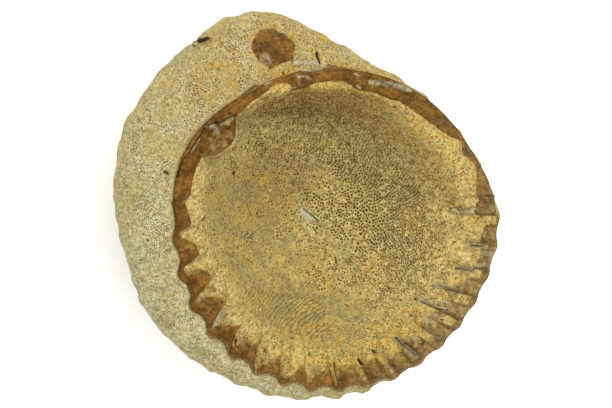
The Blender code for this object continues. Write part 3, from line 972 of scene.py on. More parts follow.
def lining_top(angle, share):
    """The lining's seen side: filled relief, its thickness, bumps, wavy rows and cuts."""
    within = lining_share(angle, share)
    inset = inset_at(angle, within)
    cover = crust_cover(angle, inset)
    kept = 1 - RELIEF_FILLED * smooth(*RELIEF_FILLED_BY, cover)

    def filled(a, s):
        return hollow(a, s, kept)

    thickness = LINING_EDGE_THICKNESS * smooth(0, LINING_EDGE_ENDS, cover)
    thickness += (LINING_THICKNESS - LINING_EDGE_THICKNESS) * smooth(0, LINING_THICK_FROM, cover)
    thickness -= LINING_SINK * fade(*LINING_SINKS, cover)
    point = away_from(filled, angle, within, thickness)
    strength, row = fingerprint(point)
    uneven = bumps(point, *LINING_BUMPS) + ROW_DEPTH * strength * row
    point[:, 2] += uneven * smooth(0, LINING_BUMPS_START, cover)
    point[:, 2] -= cut_depth(on_rim(angle, inset), RIM_CUTS) + cut_depth(point[:, :2], FLOOR_CUTS)
    return point


def laid_rings(surface, spacings):
    """Rings laid over a surface from its edge to its middle, with points `spacings` apart.

    Gives each ring's share, point count and radius on the flat disc, where the radii shrink so that the
    flat triangles have the shapes of the bowed ones."""
    steps = np.linspace(0, 1, MEASURED_RINGS)
    spokes = np.arange(0.0, 360, MEASURED_SPOKES)
    angles, shares = (grid.ravel() for grid in np.meshgrid(spokes, steps))
    lines = surface(angles, shares).reshape(len(steps), len(spokes), 3)
    spacing = np.interp(steps, *zip(*spacings))
    lengths = np.linalg.norm(np.diff(lines, axis=0), axis=2).max(axis=1)
    travel = np.concatenate([[0], np.cumsum(lengths / (spacing[1:] * ROW_GAP))])
    girths = np.linalg.norm(lines - np.roll(lines, 1, axis=1), axis=2).sum(axis=1)
    stops = np.interp(np.arange(0, travel[-1] - 0.5), travel, steps)
    counts = np.maximum(LEAST_ROUND, np.round(np.interp(stops, steps, girths / spacing)).astype(int))
    return stops, counts, np.exp(-ROW_GAP * math.tau * np.cumsum(1 / counts))


def ring_of_points(bm, radius, count, height, closed):
    """One ring of a disc, as its edges. The innermost ring of a side is closed by a fan."""
    made = bmesh.ops.create_circle(
        bm, cap_ends=closed, cap_tris=closed, segments=int(count), radius=radius,
        matrix=Matrix.Translation((0, 0, height)),
    )
    rim = dict.fromkeys(vert for vert in made["verts"] if vert.co.xy.length > radius / 2)
    edges = (edge for vert in rim for edge in vert.link_edges)
    return list(dict.fromkeys(edge for edge in edges if all(end in rim for end in edge.verts)))


def coordinates(bm):
    return np.array([vert.co for vert in bm.verts])


def set_coordinates(bm, points):
    for vert, point in zip(bm.verts, points.tolist()):
        vert.co = point


def even_out(bm, upper):
    """Turns the edges of the flat upper side where that gives rounder triangles."""
    faces = [face for face in bm.faces if all(upper[vert.index] for vert in face.verts)]
    edges = list(dict.fromkeys(edge for face in faces for edge in face.edges))
    bmesh.ops.beautify_fill(bm, faces=faces, edges=edges, method="AREA")


def ringed_disc(under_rings, rings):
    """A closed flat disc of bridged rings, its upper side at height 0, with its points scattered a little."""
    shares, counts, radii = rings
    bm = bmesh.new()
    # The rings are stacked while they are bridged, and flattened afterwards
    loops = []
    for number, (share, count) in enumerate(reversed(under_rings)):
        radius = np.interp(share, shares, radii)
        loops.append(ring_of_points(bm, radius, count, (number - len(under_rings)) * RING_STEP, not loops))
    for number, (count, radius) in enumerate(zip(counts, radii), start=1):
        loops.append(ring_of_points(bm, radius, count, number * RING_STEP, number == len(counts)))
    for loop, following in zip(loops, loops[1:]):
        bmesh.ops.bridge_loops(bm, edges=loop + following)
    bmesh.ops.triangulate(bm, faces=bm.faces)
    flat = coordinates(bm)
    upper = flat[:, 2] > 0
    flat[:, 2] = np.where(upper, 0, -1)
    set_coordinates(bm, flat)
    even_out(bm, upper)
    # The two outermost rings stay as they are
    reach = np.hypot(flat[:, 0], flat[:, 1])
    loose = upper & (reach < radii[1] * 0.999)
    step = reach * math.tau / np.interp(reach, radii[::-1], counts[::-1])
    flat[:, :2] += np.random.uniform(-JITTER, JITTER, (len(flat), 2)) * (step * loose)[:, None]
    set_coordinates(bm, flat)
    even_out(bm, upper)
    # The closest points are moved apart a little
    scattered = [vert for vert, moves in zip(bm.verts, loose) if moves]
    bmesh.ops.smooth_vert(
        bm, verts=scattered, factor=EASING, use_axis_x=True, use_axis_y=True, use_axis_z=False,
    )
    even_out(bm, upper)
    return bm


def rolled_disc(steps, under, over):
    """A closed disc with a ring of points at each share inwards: a grid rolled up into a turned profile."""
    profile = [(0.0, -1), *((1 - s, -1) for s in reversed(under)), *((1 - s, 1) for s in over), (0.0, 1)]
    bm = bmesh.new()
    bmesh.ops.create_grid(bm, x_segments=steps, y_segments=len(profile) - 1, size=0.5)
    for vert in bm.verts:
        turn = (vert.co.x + 0.5) * math.tau
        radius, height = profile[round((vert.co.y + 0.5) * (len(profile) - 1))]
        vert.co = (radius * math.cos(turn), radius * math.sin(turn), height)
    bmesh.ops.remove_doubles(bm, verts=bm.verts, dist=1e-5)
    return bm


def on_disc(flat, share_of):
    """The angle and share of flat disc coordinates, and whether they are on its upper side."""
    angle = np.degrees(np.arctan2(flat[:, 1], flat[:, 0])) % 360
    return angle, share_of(np.hypot(flat[:, 0], flat[:, 1])), flat[:, 2] > -0.5


def bowed(flat, share_of, under_surface, over_surface):
    """Flat disc coordinates laid on the two surfaces."""
    angle, share, upper = on_disc(flat, share_of)
    points = np.empty_like(flat)
    points[upper] = over_surface(angle[upper], share[upper])
    points[~upper] = under_surface(angle[~upper], share[~upper])
    return points


def split_near(bm, distances, reaches):
    """Splits the edges near to features, in rounds, each within its own reach of them."""
    for reach in reaches:
        close = distances() < reach
        bm.verts.index_update()
        edges = [edge for edge in bm.edges if close[edge.verts[0].index] or close[edge.verts[1].index]]
        bmesh.ops.subdivide_edges(bm, edges=edges, cuts=1)
        bmesh.ops.triangulate(bm, faces=[face for face in bm.faces if len(face.verts) > 3])


def finished_piece(name, bm, material):
    """Turns the modelled piece into a named object in the frame's place, in metres."""
    bm.transform(Matrix.Scale(MM, 4) @ Matrix.Translation((-REST_SPOT[0], -REST_SPOT[1], 0)))
    if bm.calc_volume(signed=True) < 0:
        bmesh.ops.reverse_faces(bm, faces=bm.faces)
    bmesh.ops.triangulate(bm, faces=bm.faces)
    mesh = bpy.data.meshes.new(name)
    bm.to_mesh(mesh)
    bm.free()
    mesh.shade_smooth()
    mesh.set_sharp_from_angle(angle=math.radians(CREASE_ANGLE))
    mesh.materials.append(material)
    piece = bpy.data.objects.new(name, mesh)
    bpy.context.scene.collection.objects.link(piece)
    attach(piece, "root")
    return piece


def paint(bm, marks):
    """Stores how strongly each mark shows at each point, as the attributes that the materials read."""
    for name, values in marks.items():
        layers = bm.verts.layers.float if values.ndim == 1 else bm.verts.layers.float_vector
        layer = layers.new(name)
        for vert, value in zip(bm.verts, values.tolist()):
            vert[layer] = value


def scattered_pores(bm, chance, radius, allowed):
    """Picks the points that get a pore, as {radius: [points]}, where they stand far enough apart."""
    pores = {}
    sizes = {}
    luck = np.random.random(len(chance))
    radius = radius * np.random.uniform(*PORE_SPREAD, len(radius))
    for vert, wanted, size in zip(bm.verts, allowed & (luck < chance), radius):
        if wanted:
            lengths = {edge.other_vert(vert): edge.calc_length() for edge in vert.link_edges}
            shortest = min(lengths.values())
            # A pore leaves a wall between itself and the earlier ones beside it
            rooms = [lengths[beside] - sizes[beside] - PORE_WALL for beside in lengths if beside in sizes]
            step = round(min(size, PORE_SHARE * shortest, *rooms) / PORE_STEP)
            if step >= LEAST_PORE_STEPS and shortest > LEAST_SPACE:
                sizes[vert] = step * PORE_STEP
                pores.setdefault(sizes[vert], []).append(vert)
    return pores


def pierce(bm, pores):
    """Cuts a pit at each point of {radius: [points]}, deepest in its middle, and marks it to be painted dark
    inside, a painted shade.
    """
    depth_layer = bm.verts.layers.float["pore"]
    pale_layer = bm.verts.layers.float["pale"]
    marks = bm.verts.layers.float.values()
    for radius, verts in pores.items():
        made = bmesh.ops.bevel(
            bm, geom=verts, offset=radius, offset_type="OFFSET", affect="VERTICES", segments=1, profile=0.5,
            material=-1, clamp_overlap=True,
        )
        for vert in made["verts"]:
            vert[depth_layer] = PORE_RIM
            vert[pale_layer] = min(1, vert[pale_layer] + RIM_PALER * radius)
        pits = bmesh.ops.poke(bm, faces=made["faces"], offset=0, center_mode="MEAN")
        bm.normal_update()
        for vert in pits["verts"]:
            beside = vert.link_edges[0].other_vert(vert)
            for layer in marks:
                vert[layer] = beside[layer]
            vert[depth_layer] = 1
            vert.co -= beside.normal * radius * PORE_DEPTH


class Shades:
    """Adds nodes to a shader tree. A value is a socket, a number or a linear colour."""

    def __init__(self, tree):
        self.tree = tree

    def put(self, value, socket):
        """Sets an input to a value or a colour, or links a socket to it."""
        if isinstance(value, (int, float)):
            socket.default_value = value
        elif isinstance(value, tuple):
            socket.default_value = (*value, 1) if socket.type == "RGBA" else value
        else:
            self.tree.links.new(value, socket)

    def node(self, kind, values):
        """A new node with its inputs filled from {name or number: value}."""
        node = self.tree.nodes.new("ShaderNode" + kind)
        for name, value in values.items():
            self.put(value, node.inputs[name])
        return node

    def group(self, tree, values):
        """A node group placed in this tree, as its outputs."""
        node = self.node("Group", {})
        node.node_tree = tree
        for name, value in values.items():
            self.put(value, node.inputs[name])
        return node.outputs

    def mark(self, name, output="Fac"):
        """A mark painted on the piece."""
        node = self.node("Attribute", {})
        node.attribute_name = name
        return node.outputs[output]

    def stretched(self, places, scale):
        return self.node("Mapping", {"Vector": places, "Scale": scale}).outputs["Vector"]

    def millimetres(self):
        """Object coordinates in millimetres."""
        return self.stretched(self.node("TexCoord", {}).outputs["Object"], (1 / MM,) * 3)

    def spread(self, value, low, high, to_low=0.0, to_high=1.0):
        """A value stretched so that low and high become to_low and to_high, with soft ends."""
        ends = {"From Min": low, "From Max": high, "To Min": to_low, "To Max": to_high}
        node = self.node("MapRange", {"Value": value, **ends})
        node.interpolation_type = "SMOOTHSTEP"
        return node.outputs["Result"]

    def cloud(self, places, scale, detail, low, high):
        """Cloudy noise from 0 to 1 with lumps of about 1 / scale millimetres."""
        node = self.node("TexNoise", {"Vector": places, "Scale": scale, "Detail": detail})
        return self.spread(node.outputs["Fac"], low, high)

    def both(self, operation, first, second):
        """Two values added or multiplied."""
        node = self.node("Math", {0: first, 1: second})
        node.operation = operation
        return node.outputs["Value"]

    def times(self, first, second):
        return self.both("MULTIPLY", first, second)

    def plus(self, first, second):
        return self.both("ADD", first, second)

    def blend(self, factor, first, second, kind="MIX"):
        """Two colours mixed by a mask."""
        node = self.node("Mix", {})
        node.data_type = "RGBA"
        node.blend_type = kind
        sockets = {socket.name: socket for socket in node.inputs if socket.enabled}
        for name, value in (("Factor", factor), ("A", first), ("B", second)):
            self.put(value, sockets[name])
        return next(socket for socket in node.outputs if socket.enabled)

    def speckled(self, colour, grain, ends):
        """A colour made lighter and darker by the fine grain."""
        value = self.spread(grain["Mask"], *ends)
        grey = self.node("CombineColor", {"Red": value, "Green": value, "Blue": value})
        return self.blend(1.0, colour, grey.outputs["Color"], "MULTIPLY")


def new_group(name, inputs, outputs):
    """An empty node group, with its inputs and outputs given as {name: socket type}."""
    group = bpy.data.node_groups.new(name, "ShaderNodeTree")
    for direction, sockets in (("INPUT", inputs), ("OUTPUT", outputs)):
        for socket, kind in sockets.items():
            group.interface.new_socket(socket, in_out=direction, socket_type=kind)
    return Shades(group), group.nodes.new("NodeGroupInput").outputs, group.nodes.new("NodeGroupOutput").inputs


def grain_group():
    """Fine grain that every surface has: a mask from 0 to 1, and a height in millimetres."""
    outputs = {"Mask": "NodeSocketFloat", "Height": "NodeSocketFloat"}
    shades, _, put_out = new_group("fine grain", {}, outputs)
    places = shades.millimetres()
    both = shades.plus(*(shades.cloud(places, *clouds) for clouds in GRAIN_CLOUDS))
    shades.put(shades.times(both, 0.5), put_out["Mask"])
    shades.put(shades.times(both, GRAIN_HEIGHT), put_out["Height"])
    return shades.tree


def crust_group(grain):
    """A porous crust's colour, from its own colours and the marks painted on it, with painted shade in its
    pores, rows, cuts and under the hinge, and painted light on the lining's front wall.
    """
    inputs = {name: "NodeSocketColor" for name in CRUST_COLOURS} | {"Dots": "NodeSocketFloat"}
    outputs = {"Color": "NodeSocketColor", "Height": "NodeSocketFloat"}
    shades, given, put_out = new_group("porous crust", inputs, outputs)
    places = shades.millimetres()
    fine = shades.group(grain, {})
    ochre = shades.mark("ochre")
    colour = shades.blend(shades.cloud(places, *WARM_CLOUDS), given["Plain"], given["Warm"])
    for strength, clouds, over in (
        (ochre, OCHRE_CLOUDS, given["Ochre"]),
        (BLOTCHES, OCHRE_BLOTCHES, given["Ochre"]),
        # Pale, and painted light on the lining's front wall
        (shades.mark("pale"), PALE_AND_LIT_CLOUDS, given["Pale"]),
        # Brown where the lining is thin, and a painted shade under the hinge
        (shades.mark("thin"), THIN_AND_SHADE_CLOUDS, THIN_AND_SHADE_BROWN),
    ):
        colour = shades.blend(shades.times(strength, shades.cloud(places, *clouds)), colour, over)
    colour = shades.speckled(colour, fine, CRUST_SPECKLE)
    # Pores too fine to be cut, in drifts: dark dots of painted shade that also dip a little
    cells = shades.node("TexVoronoi", {"Vector": places, "Scale": DOT_SCALE})
    dots = shades.spread(cells.outputs["Distance"], *DOT_SIZE, 1.0, 0.0)
    dotted = shades.plus(given["Dots"], shades.times(ochre, DOTS_ON_OCHRE))
    dots = shades.times(shades.times(dots, shades.cloud(places, *DOT_DRIFTS)), dotted)
    # The pore colour is painted shade in the pits, the rows' troughs and the fine dots
    pore = shades.blend(ochre, given["Pore"], WARM_PORE_SHADE)
    for mask, over in (
        (dots, pore),
        (shades.spread(shades.mark("pore"), *PORE_COLOURED), pore),
        (shades.mark("white"), CHIP_WHITE),
        # Black painted shade in the cuts
        (shades.mark("stain"), SHADE_BLACK),
    ):
        colour = shades.blend(mask, colour, over)
    shades.put(colour, put_out["Color"])
    shades.put(shades.plus(fine["Height"], shades.times(dots, DOT_HEIGHT)), put_out["Height"])
    return shades.tree


def new_material(name, rough, gloss):
    """A plain material, what adds nodes to it, and its shader's inputs."""
    material = bpy.data.materials.new(name)
    material.use_nodes = True
    surface = material.node_tree.nodes["Principled BSDF"].inputs
    surface["Roughness"].default_value = rough
    surface["Specular IOR Level"].default_value = gloss
    return material, Shades(material.node_tree), surface


def add_bump(shades, height, surface, strength):
    """Bump from a height in millimetres."""
    bump = shades.node("Bump", {"Height": height, "Distance": MM, "Strength": strength})
    shades.put(bump.outputs["Normal"], surface["Normal"])


def crust_material(name, group, colours):
    """A crust's material: the crusts' group with its own colours."""
    material, shades, surface = new_material(name, CRUST_ROUGHNESS, GLOSS)
    crust = shades.group(group, colours | {"Dots": DOTS})
    shades.put(crust["Color"], surface["Base Color"])
    add_bump(shades, crust["Height"], surface, 1.0)
    return material


def shell_material(grain):
    """Brown shell: growth lines along the edge, faint streaks across it, chalky places, black painted shade
    in the cuts, the slit and along the sides of the ribs, and painted light on the front tooth's lens.
    """
    material, shades, surface = new_material("shell brown", SHELL_ROUGHNESS, SHELL_GLOSS)
    places = shades.millimetres()
    fine = shades.group(grain, {})
    flow = shades.mark("flow", "Vector")
    along = shades.stretched(flow, ALONG_EDGE)
    across = shades.stretched(flow, ACROSS_EDGE)
    lines = shades.cloud(along, *LINE_CLOUDS)
    chalk = shades.times(shades.mark("chalk"), shades.cloud(across, *CHALK_CLOUDS))
    colour = shades.blend(shades.cloud(places, *SHELL_CLOUDS), SHELL_DARK, SHELL_LIGHT)
    for mask, over in (
        (shades.times(WARM_SHELL, shades.cloud(places, *SHELL_WARM_CLOUDS)), SHELL_WARM),
        (shades.times(GROWTH_LINES, lines), GROWTH_LINE),
        (shades.times(FAINT_STREAKS, shades.cloud(across, *STREAK_CLOUDS)), FAINT_STREAK),
        (chalk, CHALK),
        # Dust, and painted light on the front tooth's lens
        (shades.times(shades.mark("dust_and_light"), shades.cloud(places, *DUST_AND_LIGHT_CLOUDS)), DUST_AND_LIGHT),
    ):
        colour = shades.blend(mask, colour, over)
    colour = shades.speckled(colour, fine, SHELL_SPECKLE)
    # Black painted shade in the cuts, the slit and along the sides of the ribs
    shades.put(shades.blend(shades.mark("stain"), colour, SHADE_BLACK), surface["Base Color"])
    shades.put(shades.spread(chalk, 0, 1, *CHALKED_ROUGHNESS), surface["Roughness"])
    height = shades.plus(shades.times(fine["Height"], SHELL_GRAIN), shades.times(lines, GROWTH_LINE_HEIGHT))
    add_bump(shades, height, surface, SHELL_BUMP)
    return material


def cut_shade(depth):
    """How black a place in a cut is painted, from the cut's depth: a painted shade."""
    return smooth(*CUT_SHADE_FROM, depth)


def growth_flow(points, angle, inset, upper):
    """Coordinates that run along the growth lines (x and y) and across them (z), on the rim and the beak."""
    turn = np.radians(leaned(angle, inset))
    radius = around(EDGE_RADII, angle)
    rim = np.stack([radius * np.cos(turn), radius * np.sin(turn), inset], axis=-1)
    from_tip = points[:, :2] - BEAK_TIP
    distance = np.linalg.norm(from_tip, axis=1, keepdims=True) + 1e-6
    beak = np.hstack([3 * from_tip / distance, distance])
    return np.where(upper[:, None], rim, beak)


def rim_marks(points, angle, inset):
    """Bare shell on the rim: chalky streaks, edge and grooves, black painted shade in the cuts and along the
    sides of the ribs, a lighter powdery brown beside the lining, and the same brown as painted light on the
    front tooth's lens.
    """
    places = on_rim(angle, inset)
    rib_line = leaned(angle, inset)
    uneven = bumps(points, STREAK_WAVES)
    streaks = (
        fade(*STREAK_ENDS, (line_distance(places, line) + uneven) / half_width)
        for line, half_width in CHALK_STREAKS + BARE_STREAKS
    )
    edge = fade(*CHALK_EDGE_ENDS, inset) * smooth(*CHALK_EDGE_ANGLES, angle)
    bars = bell(angle, *CHALK_BARS) * groove(rib_line) * smooth(*CHALK_BARS_START, inset)
    behind = bell(angle, *DUSTY_BACK)
    beside_lining = smooth(*DUST_BY_LINING, crust_cover(angle, inset)) * ribbed(rib_at(angle))
    socket = from_spot(places, (SOCKET[0] * MM_PER_DEGREE, SOCKET[1])) + bumps(points, SOCKET_WAVES)
    # Dust behind, and the dust colour on the front tooth's lens as painted light
    dusty_and_lit = 0.7 * behind + 0.75 * bell(angle, *UNDER_TOOTH) * (inset > UNDER_TOOTH_FROM)
    # Thin lines of painted shade along both sides of each rib
    rib_sides = hump(from_rib(rib_at(rib_line)) - RIB_LINE_AT, RIB_LINE_HALF_WIDTH)
    rib_sides = rib_sides * bell(angle, *RIB_LINES) * ribbed(rib_at(angle))
    return {
        "chalk": np.max([*streaks, 0.6 * edge, 0.85 * bars, 0.2 * behind], axis=0),
        "stain": np.maximum(cut_shade(cut_depth(places, RIM_CUTS)), 0.4 * rib_sides),
        "dust_and_light": np.max([0.65 * beside_lining, fade(*SOCKET_ENDS, socket), dusty_and_lit], axis=0),
    }


def beak_marks(points):
    """Bare shell outside: chalk on the ledge, the chip, a patch and the rough lines, and black painted shade
    in the slit and the cuts.
    """
    x, y = (points[:, :2] - LEDGE_MIDDLE).T
    ledge = (np.abs(x) < LEDGE_HALF_LENGTH + LEDGE_ROOM) & (np.abs(y) < LEDGE_HALF_WIDTH + LEDGE_ROOM)
    patch = fade(*PATCH_ENDS, from_spot(points, CHALK_PATCH))
    chip = fade(*CHIP_ENDS, from_spot(points, CHIP_MIDDLE))
    rough = smooth(*ROUGH_CHALK_STARTS, from_spot(points, BEAK_TIP) + bumps(points, ROUGH_FRAY))
    slit = ledge * ledge_slit(x, y, SLIT_SHADE_HALF_WIDTH)
    return {
        "chalk": np.max([ledge * 1.0, 0.5 * patch, chip, ROUGH_CHALK * rough], axis=0),
        "stain": np.maximum(0.8 * slit, cut_shade(cut_depth(points[:, :2], CRUST_CUTS))),
    }


def shell_marks(points, angle, share, upper):
    """The marks of the valve. It has none away from the rim and the beak, where it is never seen."""
    inset = inset_at(angle, share)
    marks = {name: np.zeros(len(points)) for name in ("chalk", "stain", "dust_and_light")}
    rim = upper & (share < RIM_SHARE)
    beak = ~upper & near_beak(angle, share, SHELL_BEAK_SHARE)
    made_on = ((rim, rim_marks(points[rim], angle[rim], inset[rim])), (beak, beak_marks(points[beak])))
    for where, made in made_on:
        for name, values in made.items():
            marks[name][where] = values
    return marks | {"flow": growth_flow(points, angle, inset, upper)}


def make_valve(material):
    """The valve: a rolled disc with extra points near its cuts and the bare places outside."""
    bm = rolled_disc(VALVE_STEPS, VALVE_UNDER, VALVE_OVER)

    def share_of(reach):
        return 1 - reach

    def distance():
        angle, share, upper = on_disc(coordinates(bm), share_of)
        away = np.full(len(angle), FAR)
        rim = upper & (share < RIM_SHARE)
        away[rim] = from_lines(on_rim(angle[rim], inset_at(angle[rim], share[rim])), RIM_CUTS)
        beak = ~upper & (share > ON_EDGE) & near_beak(angle, share, SHELL_BEAK_SHARE, SPLIT_BEAK_LEAST)
        away[beak] = outside_reach(valve_outside(angle[beak], share[beak]))
        return away

    split_near(bm, distance, VALVE_SPLITS)
    flat = coordinates(bm)
    points = bowed(flat, share_of, valve_outside, valve_inside)
    set_coordinates(bm, points)
    paint(bm, shell_marks(points, *on_disc(flat, share_of)))
    piece = finished_piece("brown_valve", bm, material)
    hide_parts("cockle_valve")


def make_crust(name, node, material, seed, surfaces, spacings, features, marks, pore_plan):
    """One crust: a scattered disc with extra points near its features, pierced by its pores."""
    np.random.seed(seed)
    under_surface, over_surface = surfaces
    shares, counts, radii = rings = laid_rings(over_surface, spacings)
    bm = ringed_disc([(FIRST_HIDDEN_RING, counts[0]), *HIDDEN_RINGS], rings)

    def share_of(reach):
        return np.interp(reach, [0, *radii[::-1], 1], [1, *shares[::-1], 0])

    def distance():
        angle, share, upper = on_disc(coordinates(bm), share_of)
        away = np.full(len(angle), FAR)
        away[upper] = features(over_surface(angle[upper], share[upper]), angle[upper], share[upper])
        return away

    split_near(bm, distance, CRUST_SPLITS)
    flat = coordinates(bm)
    points = bowed(flat, share_of, under_surface, over_surface)
    set_coordinates(bm, points)
    angle, share, upper = on_disc(flat, share_of)
    painted = marks(points, angle, share)
    paint(bm, painted)
    chance, radius = pore_plan(points, angle, share)
    # No pores are cut where a cut is painted in shade
    pierce(bm, scattered_pores(bm, chance, radius, upper & (painted["stain"] < UNSHADED)))
    piece = finished_piece(name, bm, material)
    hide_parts(node)


def crust_features(points, angle, share):
    """How far places outside are from the crust's cuts and the edges of the bare places."""
    away = from_lines(points[:, :2], CRUST_CUTS)
    near = near_beak(angle, share)
    away[near] = np.minimum(away[near], np.abs(outside_reach(points[near])) + BARE_EDGE_FURTHER)
    return away


def crust_marks(points, angle, share):
    """The marks of the crust outside: orange at the hinge, paler on the left, and black painted shade in its
    cuts.
    """
    stain = cut_shade(crust_cut_depth(points, share))
    hinge = bell(angle, *OUTER_HINGE) * fade(*OUTER_HINGE_ENDS, share)
    left = bell(angle, *OUTER_LEFT)
    return {
        "stain": stain,
        "ochre": np.clip(0.15 + 0.85 * hinge + bumps(points, OUTER_OCHRE_WAVES), 0, 1),
        "pale": np.clip(0.9 * left + bumps(points, OUTER_PALE_WAVES), 0, 1),
        "thin": 0 * stain, "pore": 0 * stain, "white": 0 * stain,
    }


def crust_pore_plan(points, angle, share):
    """Fine pores in drifts, all over the outside: the chance of one, and its radius."""
    drifts = smooth(*OUTER_DRIFT_ENDS, bumps(points, *OUTER_DRIFTS))
    chance = (OUTER_CHANCE[0] + OUTER_CHANCE[1] * drifts) * (1 - FEWER_BY * smooth(*FEWER_BELOW, share))
    chance = chance * (share > OUTER_PORES[0]) * (share < OUTER_PORES[1])
    wide = np.random.random(len(points)) < WIDE_PORES
    return chance, OUTER_RADIUS[0] + OUTER_RADIUS[1] * drifts + WIDE_BY * wide


def lining_features(points, angle, share):
    """How far places of the lining are from its cuts. They are split all over the wavy rows too."""
    rim_places = on_rim(angle, lining_inset(angle, share))
    away = np.minimum(from_lines(points[:, :2], FLOOR_CUTS), from_lines(rim_places, RIM_CUTS))
    return np.where(fingerprint(points)[0] > ROWS_SPLIT_FROM, 0.0, away)


def honeycomb(points):
    """How open the lining's pores are, from the smooth front of the floor to the open pores behind."""
    return smooth(*OPEN_ENDS, points[:, :2] @ OPEN_DIRECTION + bumps(points, OPEN_WAVES))


def lining_marks(points, angle, share):
    """The marks of the lining. It is orange by the rim and paler on the walls, brown where it barely covers
    the shell and in the middle of the floor, browner and darker under the hinge as a painted shade, paler on
    the front wall as painted light, and dark in its cuts and the troughs of its rows as a painted shade.
    """
    inset = lining_inset(angle, share)
    open_pores = honeycomb(points)
    strength, row = fingerprint(points)
    depth = np.maximum(cut_depth(points[:, :2], FLOOR_CUTS), cut_depth(on_rim(angle, inset), RIM_CUTS))
    front_wall = bell(angle, *FRONT_WALL)
    under_hinge = bell(angle, *UNDER_HINGE) * fade(*UNDER_HINGE_ENDS, inset)
    from_middle = from_spot(points, FLOOR_MIDDLE)
    centre = fade(*CENTRE_ENDS, from_middle)
    from_streaks = from_lines(on_rim(angle, inset), BARE_STREAKS)
    from_white_line = line_distance(points[:, :2], WHITE_LINE) + bumps(points, WHITE_WAVES)
    spots = [fade(*OCHRE_SPOT_ENDS, from_spot(points, spot) / radius) for spot, radius in OCHRE_SPOTS]
    # Less orange and paler on the front wall, as painted light
    rim = fade(*OCHRE_RIM_ENDS, inset) * (1 - 0.45 * front_wall)
    pale = (
        hump(from_spot(points, PALE_CHIP[0]), PALE_CHIP[1]) + 0.45 * open_pores + bumps(points, PALE_WAVES)
        + 0.9 * front_wall * fade(*FRONT_WALL_ENDS, inset)
        + 0.8 * (1 - open_pores) * smooth(*TOP_STARTS, points[:, 1])
        + 0.3 * smooth(*OUT_FROM_CENTRE, from_middle)
    )
    # Less pale under the hinge, a painted shade, and in the middle of the floor
    pale = pale * (1 - 0.35 * under_hinge) * (1 - 0.7 * centre)
    pale = pale + hump(from_spot(points, PALE_BACK[0]), PALE_BACK[1]) + fade(*PALE_BY_STREAKS, from_streaks)
    thin = fade(*THIN_ENDS, crust_cover(angle, inset) + bumps(points, THIN_WAVES)) * (inset < THIN_WITHIN)
    thin = 0.8 * thin * (0.4 + 0.6 * bell(angle, *THINNEST))
    return {
        "stain": cut_shade(depth),
        "ochre": np.max([np.clip(0.95 * rim + bumps(points, OCHRE_WAVES), 0, 1), *spots], axis=0),
        "pale": np.clip(pale, 0, 1),
        # Brown where the lining is thin, browner under the hinge as a painted shade, and in the middle of the
        # floor
        "thin": np.max([thin, 0.5 * under_hinge * smooth(*UNDER_HINGE_STARTS, inset), 0.35 * centre], axis=0),
        "white": np.maximum(
            fade(*WHITE_LINE_ENDS, from_white_line), 0.7 * fade(*WHITE_BY_STREAKS, from_streaks),
        ),
        # The troughs of the rows take the pore colour, a painted shade
        "pore": 0.46 * strength * smooth(*ROW_PITS, -row),
    }


def lining_pore_plan(points, angle, share):
    """Pores of the lining: the chance of one, and its radius."""
    inset = lining_inset(angle, share)
    open_pores = honeycomb(points)
    rim = fade(*RIM_PORES_END, inset)
    drifts = smooth(*LINING_DRIFT_ENDS, bumps(points, LINING_DRIFTS))
    # The closed patches are read elsewhere in the noise, so that they don't follow the other bumps
    patches = roughness(points + ELSEWHERE, CLOSED_PATCHES) + bumps(points, CLOSED_WAVES)
    closed = 1 - CLOSED_BY * smooth(*CLOSED_ENDS, patches)
    chance = np.clip(LINING_CHANCE[0] + LINING_CHANCE[1] * drifts + open_pores * closed, 0, MOST_CHANCE)
    chance = chance * (1 - FEWER_IN_ROWS * fingerprint(points)[0])
    chance = chance + (RIM_CHANCE - chance) * rim
    clusters = [fade(*CLUSTER_ENDS, from_spot(points, spot) / reach) for spot, reach in PORE_CLUSTERS]
    clusters = np.max(clusters, axis=0)
    chance = np.maximum(chance, CLUSTER_CHANCE * clusters)
    open_pores = np.maximum(open_pores, CLUSTER_OPEN * clusters)
    radius = LINING_RADIUS[0] + LINING_RADIUS[1] * open_pores * (1 - RIM_FINER * rim)
    return chance * (crust_cover(angle, inset) > LEAST_PORE_COVER), radius


def add_light(name, size, power, direction):
    light = bpy.data.lights.new(name, "AREA")
    light.shape = "DISK"
    light.size = size
    light.energy = power
    lamp = bpy.data.objects.new(name, light)
    towards = Vector(direction).normalized()
    lamp.location = towards * LIGHT_DISTANCE
    lamp.rotation_euler = towards.to_track_quat("Z", "Y").to_euler()
    bpy.context.scene.collection.objects.link(lamp)


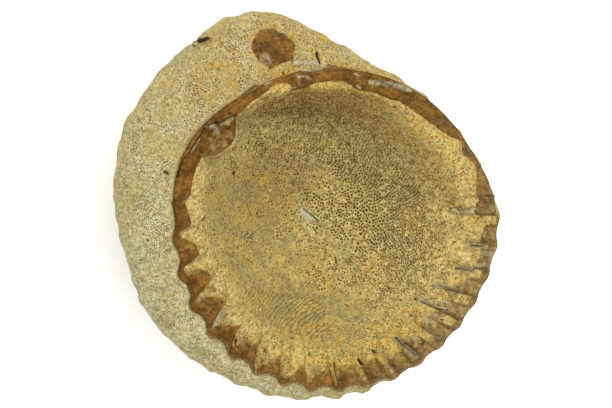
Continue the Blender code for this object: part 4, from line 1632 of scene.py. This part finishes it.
def aim_camera():
    """Places the camera so that the rim's middle falls on its pixel of the photo."""
    lean = Vector((math.cos(CAMERA_TURN), math.sin(CAMERA_TURN), 0))
    back = math.sin(CAMERA_TILT) * lean + math.cos(CAMERA_TILT) * Vector((0, 0, 1))
    tilt = Matrix.Rotation(CAMERA_TILT, 3, Vector((0, 0, 1)).cross(lean))
    right = tilt @ Vector((1, 0, 0))
    up = tilt @ Vector((0, 1, 0))
    camera_data = bpy.data.cameras.new("camera")
    camera_data.sensor_width = SENSOR_WIDTH
    camera_data.lens = SENSOR_WIDTH * CAMERA_DISTANCE * PIXELS_PER_MM / PHOTO_SIZE[0]
    camera = bpy.data.objects.new("camera", camera_data)
    across = (RIM_MIDDLE_PIXEL[0] - PHOTO_SIZE[0] / 2) / PIXELS_PER_MM
    down = (RIM_MIDDLE_PIXEL[1] - PHOTO_SIZE[1] / 2) / PIXELS_PER_MM
    rim_middle = Vector((-REST_SPOT[0], -REST_SPOT[1], EDGE_HEIGHT))
    place = rim_middle - right * across + up * down + back * CAMERA_DISTANCE
    turn = Matrix((right, up, back)).transposed().to_4x4()
    camera.matrix_world = Matrix.Translation(place * MM) @ turn
    bpy.context.scene.collection.objects.link(camera)
    bpy.context.scene.camera = camera


def make_studio():
    """A pale floor that glows a little, an even sky and two soft lights."""
    bm = bmesh.new()
    bmesh.ops.create_grid(bm, x_segments=1, y_segments=1, size=FLOOR_SIZE)
    mesh = bpy.data.meshes.new("floor")
    bm.to_mesh(mesh)
    bm.free()
    floor = bpy.data.objects.new("floor", mesh)
    material, shades, surface = new_material("floor white", FLOOR_ROUGHNESS, GLOSS)
    surface["Base Color"].default_value = (FLOOR_WHITE, FLOOR_WHITE, FLOOR_WHITE, 1)
    surface["Emission Color"].default_value = (1, 1, 1, 1)
    surface["Emission Strength"].default_value = FLOOR_GLOW
    mesh.materials.append(material)
    bpy.context.scene.collection.objects.link(floor)
    world = bpy.data.worlds.new("studio")
    world.use_nodes = True
    world.node_tree.nodes["Background"].inputs["Color"].default_value = (1, 1, 1, 1)
    world.node_tree.nodes["Background"].inputs["Strength"].default_value = SKY
    bpy.context.scene.world = world
    for light in LIGHTS:
        add_light(*light)
    bpy.context.scene.view_settings.view_transform = "Standard"


grain = grain_group()
porous = crust_group(grain)
make_valve(shell_material(grain))
make_crust(
    "porous_crust", "outer_crust", crust_material("crust ochre", porous, CRUST_COLOURS),
    OUTER_SEED, (crust_inside, crust_outside), OUTER_SPACINGS, crust_features, crust_marks, crust_pore_plan,
)
make_crust(
    "porous_lining", "inner_crust", crust_material("lining ochre", porous, LINING_COLOURS),
    LINING_SEED, (lining_under, lining_top), LINING_SPACINGS, lining_features, lining_marks, lining_pore_plan,
)
make_studio()
aim_camera()
